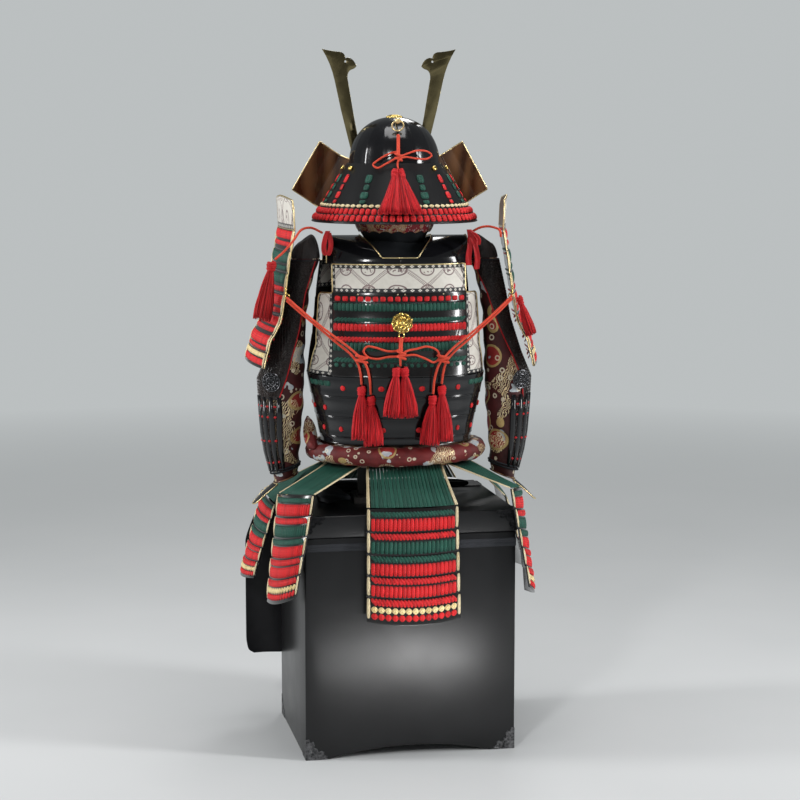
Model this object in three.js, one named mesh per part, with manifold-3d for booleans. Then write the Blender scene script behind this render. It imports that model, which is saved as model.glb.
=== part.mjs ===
// Samurai armour set up for display: a laced armour hung on a small wooden stand with a padded
// head form, standing on its own lacquered storage chest.
// Units are millimetres. +Z is up, the wearer faces -Y and the wearer's left side is +X.
// The chest, the tassets and the belt are square to the frame; the body armour, the shoulder
// guards, the sleeves and the helmet sit on the stand turned by TURN about the vertical axis.

import * as THREE from 'three';
import { mergeVertices } from 'three/addons/utils/BufferGeometryUtils.js';
import Module from 'manifold-3d';

const wasm = await Module();
wasm.setup();

// ---------------------------------------------------------------- driving dimensions

const GAP = 0.4;                    // clearance left between neighbouring pieces
const TURN = THREE.MathUtils.degToRad(-5.5);
const SHIFT_Y = 1;                  // centres the whole set over the origin, front to back

const CHEST = { width: 484, depth: 390, height: 508, board: 9, foot: 55, arch: 22 };
const LID = { width: 490, depth: 396, height: 50, board: 8 };
const LID_TOP = CHEST.height + LID.height;
const BAND = { width: 16, thick: 1.6, low: 478 };

const POST = { x: 77, side: 22 };
const SHOULDER_BAR = { length: 270, depth: 40, top: 1120, height: 34 };

const TORSO_Y = 15;                 // the body armour's middle stands behind the chest's middle
const TORSO_POWER = 2.3;            // roundness of its section
// height, half width and half depth of the body armour's base surface
const TORSO = [[704, 170, 126], [861, 199, 148], [950, 197, 151], [1050, 190, 142], [1112, 182, 124]];
const WALL = 4;
const LEDGE = 0.5;                  // height in which one lame steps out over the next
const WAIST = 704;
const BODY_TOP = 861;               // where the plain lower lames end and the laced rows begin
const ROWS_TOP = 1050;              // where the laced rows end and the printed leather begins
const PANEL_TOP = 1112;
const ROW_HALF = 150;               // half width of the laced rows
const LOWER_LAMES = [[861, 6], [813, 5], [766, 4], [720, 3], [WAIST, 3]];
const UPPER_LAMES = [[1049.6, 0], [1027, 1.5], [981, 3], [940, 4.5], [861.4, 4.5]];
const SHOULDER = { outer: 162, neckLow: 36, neckHigh: 82, rise: 60, strip: 14, thick: 3 };

const BELT = { radius: 22, halfWidth: 188, halfDepth: 142, z: 680 };
const WAISTBAND = { halfWidth: 162, halfDepth: 116, top: 700, low: 650, thick: 3 };

const TASSET = { thick: 3, step: 2, lames: [0, 0.2, 0.4, 0.585, 0.77, 1] };

const SODE = {
  backY: 115, frontY: -115, top: 1188, bottom: 876,
  // height, distance of the rear edge and of the front edge from the middle plane
  line: [[1188, 233, 259], [1118, 243, 270], [1040, 252, 281], [980, 261, 292], [935, 284, 315], [876, 297, 330]],
  lames: [1188, 1140, 1092, 1044, 996, 950, 912, 876],
  plateTop: 1258, wall: 3, step: 1.5, bulge: 8,
};

const BOWL = { halfWidth: 104, halfDepth: 118, base: 1318, spring: 1326, top: 1440, wall: 3, power: 2.2 };
const NECK_GUARD = {
  top: 1336, bottom: 1204, halfWidthTop: 108, halfDepthTop: 122, halfWidth: 185, halfDepth: 192,
  spread: THREE.MathUtils.degToRad(122), wall: 3, lames: [0, 0.17, 0.34, 0.51, 0.68, 1], step: 1.2,
};

// ---------------------------------------------------------------- colours

const lacquer = (color = 0x0c0c0e) => new THREE.MeshStandardMaterial({ color, roughness: 0.2, metalness: 0 });
const cloth = (color) => new THREE.MeshStandardMaterial({ color, roughness: 0.85, metalness: 0 });
const metal = (color) => new THREE.MeshStandardMaterial({ color, roughness: 0.35, metalness: 1 });
const RED = 0xc41f27;
const ORANGE = 0xe8503a;
const GREEN = 0x1f4a3a;
const BROCADE = 0x4a1512;
const BLACK_CLOTH = 0x15161a;
const LEATHER = 0xe9e2d6;
const GOLD = 0xcaa84a;
const BRASS = 0x7d6f47;

// ---------------------------------------------------------------- helpers

const group = new THREE.Group();
const armour = new THREE.Group();
armour.rotation.z = TURN;
group.add(armour);
group.position.y = SHIFT_Y;

function add(parent, name, geometry, material) {
  const mesh = new THREE.Mesh(welded(geometry), material);
  mesh.name = name;
  parent.add(mesh);
  return mesh;
}

const lerp = (a, b, t) => a + (b - a) * t;
const V = (x, y, z) => new THREE.Vector3(x, y, z);

// A closed body from triangles over a list of points, turned to face outwards.
function body(points, triangles) {
  let volume = 0;
  for (const [a, b, c] of triangles) volume += points[a].dot(points[b].clone().cross(points[c]));
  const index = volume < 0 ? triangles.flatMap(([a, b, c]) => [a, c, b]) : triangles.flat();
  const geometry = new THREE.BufferGeometry();
  geometry.setAttribute('position', new THREE.Float32BufferAttribute(points.flatMap((p) => [p.x, p.y, p.z]), 3));
  geometry.setIndex(index);
  return geometry;
}

// A wall between two grids of points with equal rows and columns. A round wall closes on itself.
function wall(outer, inner, round = false) {
  const rows = outer.length;
  const cols = outer[0].length;
  const points = [...outer.flat(), ...inner.flat()];
  const far = rows * cols;
  const triangles = [];
  const quad = (a, b, c, d) => triangles.push([a, b, c], [a, c, d]);
  const at = (i, j, side) => side * far + i * cols + (j % cols);
  const last = round ? cols : cols - 1;
  for (let i = 0; i < rows - 1; i++) {
    for (let j = 0; j < last; j++) {
      quad(at(i, j, 0), at(i, j + 1, 0), at(i + 1, j + 1, 0), at(i + 1, j, 0));
      quad(at(i, j, 1), at(i + 1, j, 1), at(i + 1, j + 1, 1), at(i, j + 1, 1));
    }
  }
  for (let j = 0; j < last; j++) {
    quad(at(0, j, 1), at(0, j + 1, 1), at(0, j + 1, 0), at(0, j, 0));
    quad(at(rows - 1, j, 0), at(rows - 1, j + 1, 0), at(rows - 1, j + 1, 1), at(rows - 1, j, 1));
  }
  if (!round) {
    for (let i = 0; i < rows - 1; i++) {
      quad(at(i, 0, 0), at(i + 1, 0, 0), at(i + 1, 0, 1), at(i, 0, 1));
      quad(at(i, cols - 1, 1), at(i + 1, cols - 1, 1), at(i + 1, cols - 1, 0), at(i, cols - 1, 0));
    }
  }
  return body(points, triangles);
}

// A solid through closed rings of equal counts, its two ends closed by fans.
function loft(rings) {
  const count = rings[0].length;
  const points = rings.flat();
  const triangles = [];
  for (let i = 0; i < rings.length - 1; i++) {
    for (let j = 0; j < count; j++) {
      const k = (j + 1) % count;
      const [a, b, c, d] = [i * count + j, i * count + k, (i + 1) * count + k, (i + 1) * count + j];
      triangles.push([a, b, c], [a, c, d]);
    }
  }
  for (const [ring, first] of [[rings[0], true], [rings[rings.length - 1], false]]) {
    const middle = ring.reduce((sum, p) => sum.add(p), V(0, 0, 0)).divideScalar(count);
    const base = first ? 0 : (rings.length - 1) * count;
    points.push(middle);
    for (let j = 0; j < count; j++) {
      const k = (j + 1) % count;
      const [a, b] = first ? [base + k, base + j] : [base + j, base + k];
      triangles.push([a, b, points.length - 1]);
    }
  }
  return body(points, triangles);
}

// The surface of a grid moved out along its own normals.
function moved(grid, distance) {
  const rows = grid.length;
  const cols = grid[0].length;
  return grid.map((row, i) => row.map((p, j) => {
    const across = grid[i][Math.min(j + 1, cols - 1)].clone().sub(grid[i][Math.max(j - 1, 0)]);
    const down = grid[Math.min(i + 1, rows - 1)][j].clone().sub(grid[Math.max(i - 1, 0)][j]);
    return p.clone().addScaledVector(across.cross(down).normalize(), distance);
  }));
}

function ellipse(centre, halfX, halfY, count, z = centre.z) {
  return Array.from({ length: count }, (_, j) => {
    const t = (2 * Math.PI * j) / count;
    return V(centre.x + halfX * Math.cos(t), centre.y + halfY * Math.sin(t), z);
  });
}

// The bare surface of a geometry: shared corners merged, and the slivers that merging leaves dropped.
function welded(geometry) {
  const plain = geometry.clone();
  plain.deleteAttribute('normal');
  plain.deleteAttribute('uv');
  const merged = mergeVertices(plain, 1e-3);
  const index = [...merged.index.array];
  const kept = [];
  for (let k = 0; k < index.length; k += 3) {
    const [a, b, c] = index.slice(k, k + 3);
    if (a !== b && b !== c && c !== a) kept.push(a, b, c);
  }
  merged.setIndex(kept);
  return merged;
}

function solid(geometry) {
  const merged = welded(geometry);
  return new wasm.Manifold(new wasm.Mesh({
    numProp: 3,
    vertProperties: new Float32Array(merged.attributes.position.array),
    triVerts: new Uint32Array(merged.index.array),
  }));
}

function geometryOf(manifold) {
  const { vertProperties, triVerts } = manifold.getMesh();
  const geometry = new THREE.BufferGeometry();
  geometry.setAttribute('position', new THREE.BufferAttribute(vertProperties, 3));
  geometry.setIndex(new THREE.BufferAttribute(triVerts, 1));
  return geometry;
}

const union = (...geometries) => geometryOf(geometries.map(solid).reduce((a, b) => a.add(b)));
const cut = (geometry, ...tools) => geometryOf(tools.map(solid).reduce((a, b) => a.subtract(b), solid(geometry)));

function box(x0, x1, y0, y1, z0, z1) {
  return new THREE.BoxGeometry(x1 - x0, y1 - y0, z1 - z0)
    .translate((x0 + x1) / 2, (y0 + y1) / 2, (z0 + z1) / 2);
}

// A round cord along hand-placed points.
function cord(route, diameter, steps, sides = 8) {
  const section = new THREE.Shape();
  for (let k = 0; k < sides; k++) {
    const t = (2 * Math.PI * k) / sides;
    const [x, y] = [(diameter / 2) * Math.cos(t), (diameter / 2) * Math.sin(t)];
    if (k) section.lineTo(x, y);
    else section.moveTo(x, y);
  }
  const path = new THREE.CatmullRomCurve3(route.map((p) => V(...p)));
  return new THREE.ExtrudeGeometry(section, { steps, bevelEnabled: false, extrudePath: path });
}

// A tassel: a knotted head over a skirt of threads, hung from `top` towards `bottom`.
function tassel(top, bottom, headRadius, skirtRadius) {
  const length = top.distanceTo(bottom);
  const profile = [
    [0, 0], [0.6 * headRadius, 0.5], [headRadius, 5], [headRadius, 11], [0.75 * headRadius, 14],
    [1.1 * headRadius, 19], [lerp(headRadius, skirtRadius, 0.55), 0.4 * length],
    [0.93 * skirtRadius, 0.8 * length], [skirtRadius, length], [0, length],
  ].map(([r, along]) => new THREE.Vector2(r, along));
  const geometry = new THREE.LatheGeometry(profile, 9);
  const turn = new THREE.Quaternion().setFromUnitVectors(V(0, 1, 0), bottom.clone().sub(top).normalize());
  return geometry.applyQuaternion(turn).translate(top.x, top.y, top.z);
}

// ---------------------------------------------------------------- chest

function chestBody() {
  const { width, depth, height, board, foot, arch } = CHEST;
  const [x, y] = [width / 2, depth / 2];
  const half = x - foot;
  const shape = new THREE.Shape();
  shape.moveTo(-half, -1);
  shape.lineTo(-half, 0);
  shape.quadraticCurveTo(-0.55 * half, arch, 0, arch);
  shape.quadraticCurveTo(0.55 * half, arch, half, 0);
  shape.lineTo(half, -1);
  const archway = new THREE.ExtrudeGeometry(shape, { depth: depth + 2, bevelEnabled: false, curveSegments: 6 })
    .translate(0, 0, -y - 1).rotateX(Math.PI / 2);
  const inside = box(-x + board, x - board, -y + board, y - board, arch + board, height + 1);
  return cut(box(-x, x, -y, y, 0, height), inside, archway);
}

function chestLid() {
  const { width, depth, height, board } = LID;
  const low = CHEST.height + GAP;
  const [x, y] = [width / 2, depth / 2];
  return cut(box(-x, x, -y, y, low, low + height - GAP),
    box(-x + board, x - board, -y + board, y - board, low - 1, low + height - board));
}

// The black cloth tie laid flat round the chest under the lid.
function chestBand() {
  const [x, y] = [CHEST.width / 2 + GAP, CHEST.depth / 2 + GAP];
  const ring = (grow) => [V(-x - grow, -y - grow, 0), V(x + grow, -y - grow, 0), V(x + grow, y + grow, 0),
    V(-x - grow, y + grow, 0)];
  const at = (z, grow) => ring(grow).map((p) => V(p.x, p.y, z));
  const rows = [BAND.low, BAND.low + BAND.width];
  return wall(rows.map((z) => at(z, BAND.thick)), rows.map((z) => at(z, 0)), true);
}

add(group, 'chest_body', chestBody(), lacquer());
add(group, 'chest_lid', chestLid(), lacquer());
add(group, 'chest_band', chestBand(), cloth(BLACK_CLOTH));

// ---------------------------------------------------------------- stand and head form

function standFrame() {
  const half = POST.side / 2;
  const { length, depth, top, height } = SHOULDER_BAR;
  const low = LID_TOP + GAP;
  const post = (x) => box(x - half, x + half, TORSO_Y - half, TORSO_Y + half, low + 5, top - 5);
  const bar = (z, thick) => box(-POST.x, POST.x, TORSO_Y - 8, TORSO_Y + 8, z, z + thick);
  return union(
    box(-100, 100, TORSO_Y - 50, TORSO_Y + 50, low, low + 14),
    post(-POST.x), post(POST.x), bar(640, 30), bar(880, 30),
    box(-length / 2, length / 2, TORSO_Y - depth / 2, TORSO_Y + depth / 2, top - height, top),
  );
}

function headForm() {
  const profile = [[0, 1120.4], [62, 1120.4], [66, 1150], [74, 1172], [86, 1190], [91, 1212], [90, 1300],
    [84, 1360], [66, 1398], [36, 1424], [0, 1434]].map(([r, z]) => new THREE.Vector2(r, z));
  return new THREE.LatheGeometry(profile, 20).rotateX(Math.PI / 2);
}

add(armour, 'stand_frame', standFrame(), lacquer(0x141414));
add(armour, 'head_form', headForm(), cloth(BLACK_CLOTH));

// ---------------------------------------------------------------- body armour

function torsoHalves(z) {
  let k = 0;
  while (k < TORSO.length - 2 && z > TORSO[k + 1][0]) k++;
  const [z0, a0, b0] = TORSO[k];
  const [z1, a1, b1] = TORSO[k + 1];
  const t = (z - z0) / (z1 - z0);
  return [lerp(a0, a1, t), lerp(b0, b1, t)];
}

// A point on the section at a height: angle 0 is the middle of the back, a quarter turn is +X.
function torsoPoint(z, angle, offset = 0) {
  const [a, b] = torsoHalves(z);
  const [s, c] = [Math.sin(angle), Math.cos(angle)];
  const p = 2 / TORSO_POWER;
  return V((a + offset) * Math.sign(s) * Math.abs(s) ** p, TORSO_Y + (b + offset) * Math.sign(c) * Math.abs(c) ** p, z);
}

// The section's angle at a distance x from the middle plane.
function torsoAngle(z, x) {
  const [a] = torsoHalves(z);
  return Math.asin(Math.min(1, Math.abs(x) / a) ** (TORSO_POWER / 2)) * Math.sign(x);
}

// Lames one over the other: each [top height, offset] runs down to the next one's height.
function lameRows(lames) {
  const rows = [];
  lames.slice(0, -1).forEach(([z, offset], k) => {
    rows.push([k ? z - LEDGE : z, offset], [lames[k + 1][0], offset]);
  });
  return rows;
}

function lowerBody() {
  const count = 28;
  const ring = (z, offset) => Array.from({ length: count }, (_, j) => torsoPoint(z, (2 * Math.PI * j) / count, offset));
  const rows = lameRows(LOWER_LAMES.map(([z, o]) => [z === BODY_TOP ? z - GAP : z, o]));
  return wall(rows.map(([z, o]) => ring(z, o)), rows.map(([z]) => ring(z, -WALL)), true);
}

// Part of the body from one edge to another, given as functions of height.
function bodyPanel(rows, from, to, count, front = false) {
  const turn = front ? Math.PI : 0;
  const line = (z, offset) => Array.from({ length: count + 1 },
    (_, j) => torsoPoint(z, turn + lerp(from(z), to(z), j / count), offset));
  return wall(rows.map(([z, o]) => line(z, o)), rows.map(([z]) => line(z, -WALL)));
}

const rowEdge = (side) => (z) => torsoAngle(z, side * ROW_HALF);
const armhole = (z) => THREE.MathUtils.degToRad(z > 930 ? 68 : lerp(84, 68, (z - BODY_TOP) / (930 - BODY_TOP)));

add(armour, 'cuirass_lower', lowerBody(), lacquer());
add(armour, 'cuirass_back', bodyPanel(lameRows(UPPER_LAMES), rowEdge(-1), rowEdge(1), 12), lacquer());
add(armour, 'back_panel', bodyPanel([[PANEL_TOP, 0], [ROWS_TOP, 0]], rowEdge(-1), rowEdge(1), 12), cloth(LEATHER));
for (const [name, side] of [['wing_L', 1], ['wing_R', -1]]) {
  const inner = (z) => torsoAngle(z, side * (ROW_HALF + GAP));
  const rows = [[1048, 1], [990, 1], [930, 1], [895, 1], [BODY_TOP + GAP, 1]];
  add(armour, name, bodyPanel(rows, inner, (z) => side * armhole(z), 4), cloth(LEATHER));
}
add(armour, 'cuirass_front', bodyPanel([[PANEL_TOP, 0], ...lameRows(UPPER_LAMES)],
  (z) => -armhole(z), armhole, 14, true), lacquer());

// Half of the yoke: from the back's upper edge over the shoulder to the front's upper edge.
function shoulderPlate(side) {
  const { outer, neckLow, neckHigh, rise, strip, thick } = SHOULDER;
  const base = PANEL_TOP + GAP;
  const [a, b] = torsoHalves(PANEL_TOP);
  const lift = Math.asin(strip / rise);
  const arcs = [0, lift, lift + 0.02, 0.6, 1.1, Math.PI / 2];
  const angles = [...arcs, ...arcs.slice(0, -1).reverse().map((t) => Math.PI - t)];
  const line = (t, drop) => {
    const near = Math.sin(t) <= strip / rise + 1e-6 ? GAP / 2 : lerp(neckLow, neckHigh, Math.sin(t) ** 1.5);
    return Array.from({ length: 7 }, (_, j) => {
      const x = lerp(near, outer, j / 6);
      const reach = b * (1 - (x / a) ** TORSO_POWER) ** (1 / TORSO_POWER) - drop;
      return V(side * x, TORSO_Y + reach * Math.cos(t), base + (rise - drop) * Math.sin(t));
    });
  };
  return wall(angles.map((t) => line(t, 0)), angles.map((t) => line(t, thick)));
}
add(armour, 'shoulder_L', shoulderPlate(1), lacquer());
add(armour, 'shoulder_R', shoulderPlate(-1), lacquer());

// The ring boss on the back, from which the bow hangs.
const BOSS = [[0, 0], [24, 0], [27, 3], [20, 8], [9, 11], [0, 11.5]].map(([r, h]) => new THREE.Vector2(r, h));
add(armour, 'back_boss', new THREE.LatheGeometry(BOSS, 20).translate(0, 169, 984), metal(GOLD));

// ---------------------------------------------------------------- belt

// A stuffed roll of brocade tied round the waist under the body armour.
function beltRoll() {
  const { radius, halfWidth, halfDepth, z } = BELT;
  const rows = [82, 50, 17, -17, -50, -82].map(THREE.MathUtils.degToRad);
  const centre = V(0, TORSO_Y, z);
  const ring = (t, side) => {
    const grow = side * radius * Math.cos(t);
    return ellipse(centre, halfWidth + grow, halfDepth + grow, 30, z + radius * Math.sin(t));
  };
  return wall(rows.map((t) => ring(t, 1)), rows.map((t) => ring(t, -1)), true);
}

// The roll's free end, turned up beside the body armour on the wearer's left.
function beltEnd() {
  const line = [[202, 22, 710, 6], [201, 20, 712, 12], [200, 12, 719, 15.5], [199, -6, 730, 16], [199, -22, 742, 15],
    [199, -31, 749, 11], [199, -34, 752, 5]];
  return loft(line.map(([x, y, z, r]) => Array.from({ length: 12 }, (_, j) => {
    const t = (2 * Math.PI * j) / 12;
    return V(x + r * Math.cos(t), y + 0.62 * r * Math.sin(t), z + 0.78 * r * Math.sin(t));
  })));
}
add(group, 'belt_roll', beltRoll(), cloth(BROCADE));
add(group, 'belt_end', beltEnd(), cloth(BROCADE));

// ---------------------------------------------------------------- tassets and their hanging laces

// Each tasset: its stretch of the waistband in degrees from the middle of the back, then its inner
// face's upper and lower edge as three points of an arc each, given for the +X side.
const TASSETS = {
  back: {
    band: [-33, 33], top: [[-104, 208, 574], [0, 224, 574], [104, 208, 574]],
    low: [[-104, 214, 320], [0, 234, 312], [104, 214, 320]],
  },
  rear: {
    band: [37, 80], top: [[222, 219, 610], [262, 150, 600], [277, 38, 584]],
    low: [[258, 222, 382], [288, 150, 352], [296, 42, 334]],
  },
  side: {
    band: [85, 125], top: [[274, -32, 546], [284, -110, 550], [284, -188, 556]],
    low: [[318, -34, 372], [332, -112, 358], [330, -190, 350]],
  },
  front: {
    band: [130, 176], top: [[198, -216, 562], [106, -226, 566], [10, -216, 566]],
    low: [[202, -222, 322], [106, -236, 314], [10, -222, 320]],
  },
};

// The arc through three points, in equal steps.
function arc3([a, b, c], t) {
  const [p, q, r] = [V(...a), V(...b), V(...c)];
  const middle = q.clone().multiplyScalar(2).sub(p.clone().add(r).multiplyScalar(0.5));
  return p.multiplyScalar((1 - t) ** 2).addScaledVector(middle, 2 * t * (1 - t)).addScaledVector(r, t * t);
}

const mirrored = (points, side) => points.map(([x, y, z]) => [side * x, y, z]);

// A point of a tasset's inner face: across from one edge to the other, down from the top.
function tassetPoint(spec, side, across, down) {
  return arc3(mirrored(spec.top, side), across).lerp(arc3(mirrored(spec.low, side), across), down);
}

function outward(point) {
  return V(point.x, point.y, 0).normalize();
}

function tassetPlate(spec, side) {
  const { thick, step, lames } = TASSET;
  const columns = 6;
  const rows = [];
  lames.slice(0, -1).forEach((t, k) => rows.push([k ? t + 0.003 : t, k], [lames[k + 1], k]));
  const line = ([down, k], skin) => Array.from({ length: columns + 1 }, (_, j) => {
    const point = tassetPoint(spec, side, j / columns, down);
    const tangent = tassetPoint(spec, side, Math.min(1, j / columns + 0.05), down)
      .sub(tassetPoint(spec, side, Math.max(0, j / columns - 0.05), down));
    const normal = V(tangent.y, -tangent.x, 0).normalize();
    if (normal.dot(outward(point)) < 0) normal.negate();
    return point.addScaledVector(normal, skin * (thick + step * k));
  });
  return wall(rows.map((r) => line(r, 1)), rows.map((r) => line(r, 0)));
}

function bandPoint(degrees, side, offset, z) {
  const t = THREE.MathUtils.degToRad(degrees);
  return V(side * (WAISTBAND.halfWidth + offset) * Math.sin(t), TORSO_Y + (WAISTBAND.halfDepth + offset) * Math.cos(t), z);
}

// The waistband inside the belt, with a sheet of laces fanning out of it down to each tasset.
function waistLaces() {
  const { halfWidth, halfDepth, top, low, thick } = WAISTBAND;
  const centre = V(0, TORSO_Y, 0);
  const ring = (z, grow) => ellipse(centre, halfWidth + grow, halfDepth + grow, 30, z);
  const band = wall([ring(top, 0), ring(low, 0)], [ring(top, -thick), ring(low, -thick)], true);
  const sheet = (spec, side) => {
    const columns = 5;
    const grid = [0, 0.35, 0.7, 0.985].map((t) => Array.from({ length: columns + 1 }, (_, j) => {
      const from = bandPoint(lerp(...spec.band, j / columns), side, -thick / 2, low + 4);
      const to = tassetPoint(spec, side, j / columns, 0);
      to.add(outward(to).multiplyScalar(1.5));
      return from.lerp(to, t);
    }));
    return wall(grid, moved(grid, thick));
  };
  const sheets = [sheet(TASSETS.back, 1)];
  for (const kind of ['rear', 'side', 'front']) sheets.push(sheet(TASSETS[kind], 1), sheet(TASSETS[kind], -1));
  return union(band, ...sheets);
}

add(group, 'waist_laces', waistLaces(), cloth(GREEN));
add(group, 'tasset_back', tassetPlate(TASSETS.back, 1), lacquer());
for (const kind of ['rear', 'side', 'front']) {
  add(group, `tasset_${kind}_L`, tassetPlate(TASSETS[kind], 1), lacquer());
  add(group, `tasset_${kind}_R`, tassetPlate(TASSETS[kind], -1), lacquer());
}

// ---------------------------------------------------------------- shoulder guards

function sodeX(z, across) {
  const { line } = SODE;
  let k = 0;
  while (k < line.length - 2 && z < line[k + 1][0]) k++;
  const t = (line[k][0] - z) / (line[k][0] - line[k + 1][0]);
  return lerp(lerp(line[k][1], line[k + 1][1], t), lerp(line[k][2], line[k + 1][2], t), across)
    + SODE.bulge * 4 * across * (1 - across);
}

function sodeBody(side) {
  const { backY, frontY, lames, wall: thick, step } = SODE;
  const rows = [];
  lames.slice(0, -1).forEach((z, k) => rows.push([k ? z - LEDGE : z, k], [lames[k + 1], k]));
  const line = ([z, k], skin) => Array.from({ length: 6 }, (_, j) => V(side
    * (sodeX(z, j / 5) + skin * (thick + step * k)), lerp(backY, frontY, j / 5), z));
  return wall(rows.map((r) => line(r, 1)), rows.map((r) => line(r, 0)));
}

// The plate that heads each shoulder guard, its upper corners cut back.
function sodePlate(side) {
  const { backY, frontY, top, plateTop, wall: thick } = SODE;
  const rows = [[top + GAP, 1, 0], [top + 48, 1, 2], [plateTop, 0.9, 4]];
  const line = ([z, width, lean], skin) => Array.from({ length: 9 }, (_, j) => V(
    side * (sodeX(top, j / 8) + lean + skin * thick),
    width * lerp(backY, frontY, j / 8), z + (z === plateTop ? 8 * Math.sin((Math.PI * j) / 8) - 4 : 0)));
  return wall(rows.map((r) => line(r, 1)), rows.map((r) => line(r, 0)));
}

for (const [mark, side] of [['L', 1], ['R', -1]]) {
  add(armour, `sode_plate_${mark}`, sodePlate(side), cloth(LEATHER));
  add(armour, `sode_${mark}`, sodeBody(side), lacquer());
}

// ---------------------------------------------------------------- sleeves and hand guards

// height, distance of the middle line from the middle plane, half width, half depth, tilt
const SLEEVE = [[1122, 205, 33, 38, 0], [1040, 226, 30, 42, 0], [980, 235, 32, 44, 0], [900, 250, 43, 50, 0],
  [845, 262, 54, 54, 0], [780, 262, 51, 50, 0], [700, 262, 44, 44, 0.1], [645, 256, 35, 38, 0.25],
  [613, 253, 28, 32, 0.4]];
const SLEEVE_Y = 8;
const SLEEVE_WALL = 3;

function sleeve(side) {
  const ring = ([z, x, halfX, halfY, tilt], skin) => Array.from({ length: 14 }, (_, j) => {
    const t = (2 * Math.PI * j) / 14;
    const across = (halfX - skin) * Math.cos(t);
    return V(side * (x + across), SLEEVE_Y + (halfY - skin) * Math.sin(t), z - tilt * across);
  });
  return wall(SLEEVE.map((r) => ring(r, 0)), SLEEVE.map((r) => ring(r, SLEEVE_WALL)), true);
}

function handGuard(side) {
  const grid = [0, 0.5, 1].map((down) => Array.from({ length: 7 }, (_, j) => {
    const t = lerp(-1, 1, j / 6);
    const half = lerp(28, 34, Math.sin(Math.PI * (0.15 + 0.6 * down)));
    return V(side * (lerp(282, 331, down) - 8 * t * t), SLEEVE_Y + half * t, lerp(602, 554, down) + 6 * down * t * t);
  }));
  const inner = grid.map((row) => row.map((p) => V(p.x - side * 2.5, p.y, p.z - 2)));
  return wall(grid, inner);
}

for (const [mark, side] of [['L', 1], ['R', -1]]) {
  add(armour, `sleeve_${mark}`, sleeve(side), cloth(BROCADE));
  add(armour, `hand_guard_${mark}`, handGuard(side), lacquer());
}

// ---------------------------------------------------------------- helmet

function bowl() {
  const { halfWidth, halfDepth, base, spring, top, wall: thick, power } = BOWL;
  const steps = [0, 14, 28, 42, 56, 69, 78, 84.5].map(THREE.MathUtils.degToRad);
  const ring = (t, skin) => {
    const [c, s] = [Math.cos(t) ** (2 / power), Math.sin(t) ** (2 / power)];
    return ellipse(V(0, 0, 0), (halfWidth - skin) * c, (halfDepth - skin) * c, 24, spring + (top - spring - skin) * s);
  };
  const hem = (skin) => ellipse(V(0, 0, 0), halfWidth - skin, halfDepth - skin, 24, base);
  return wall([hem(0), ...steps.map((t) => ring(t, 0))], [hem(thick), ...steps.map((t) => ring(t, thick))], true);
}

function neckGuard() {
  const g = NECK_GUARD;
  const rows = [];
  g.lames.slice(0, -1).forEach((t, k) => rows.push([k ? t + 0.004 : t, k], [g.lames[k + 1], k]));
  const line = ([down, k], skin) => Array.from({ length: 19 }, (_, j) => {
    const t = lerp(-g.spread, g.spread, j / 18);
    const grow = skin ? k * g.step : -g.wall;
    return V((lerp(g.halfWidthTop, g.halfWidth, down) + grow) * Math.sin(t),
      (lerp(g.halfDepthTop, g.halfDepth, down) + grow) * Math.cos(t), lerp(g.top, g.bottom, down));
  });
  return wall(rows.map((r) => line(r, 1)), rows.map((r) => line(r, 0)));
}

// The turned-back end of the neck guard: a strip beside its edge, a fold, and a blade swept out.
function fukigaeshi(side) {
  const edges = [
    [[88, -78, 1340], [118, -86, 1352], [142, -82, 1368], [166, -72, 1384]],
    [[118, -96, 1282], [150, -101, 1296], [174, -95, 1312], [198, -84, 1328]],
    [[148, -112, 1222], [180, -115, 1240], [204, -108, 1257], [229, -97, 1273]],
  ];
  const grid = edges.map((row) => row.map(([x, y, z]) => V(side * x, y, z)));
  return wall(grid, grid.map((row) => row.map((p) => V(p.x, p.y - 2.5, p.z))));
}

// The peak over the brow, joined to the flat base plate that holds the crest.
function brow() {
  const count = 10;
  const half = THREE.MathUtils.degToRad(50);
  const row = (halfX, halfY, z) => Array.from({ length: count + 1 }, (_, j) => {
    const t = lerp(-half, half, j / count);
    return V(halfX * Math.sin(t), -halfY * Math.cos(t), z);
  });
  const grid = [row(105, 119, 1338), row(118, 138, 1333), row(134, 162, 1318)];
  const peak = wall(grid, [row(105, 119, 1335), row(118, 138, 1330), row(134, 162, 1315)]);
  const plate = new THREE.Shape();
  plate.moveTo(-92, 1331);
  plate.quadraticCurveTo(-98, 1362, -80, 1372);
  plate.quadraticCurveTo(-40, 1378, 0, 1400);
  plate.quadraticCurveTo(40, 1378, 80, 1372);
  plate.quadraticCurveTo(98, 1362, 92, 1331);
  const base = new THREE.ExtrudeGeometry(plate, { depth: 4, bevelEnabled: false, curveSegments: 6 })
    .rotateX(Math.PI / 2).translate(0, -122, 0);
  return union(peak, base);
}

// One blade of the crest: it widens upwards and ends in a pointed leaf with a pierced lobe.
function horn(side) {
  const shape = new THREE.Shape();
  const curve = (cx, cz, x, z) => shape.quadraticCurveTo(side * cx, cz, side * x, z);
  shape.moveTo(side * 63, 1341);
  curve(74, 1400, 82, 1440);
  shape.lineTo(side * 97, 1530);
  curve(98, 1545, 89, 1550);
  curve(80, 1552, 76, 1558);
  curve(82, 1576, 95, 1578);
  curve(101, 1578, 102, 1576);
  curve(102, 1588, 113, 1591);
  curve(134, 1592, 157, 1598);
  curve(136, 1566, 127, 1524);
  curve(112, 1450, 100, 1405);
  shape.lineTo(side * 84, 1341);
  const hole = new THREE.Path();
  hole.absarc(side * 102, 1569, 2.6, 0, 1.999 * Math.PI, false);
  shape.holes.push(hole);
  return new THREE.ExtrudeGeometry(shape, { depth: 2.5, bevelEnabled: false, curveSegments: 4 })
    .rotateX(Math.PI / 2).translate(0, -126.4, 0);
}

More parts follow.
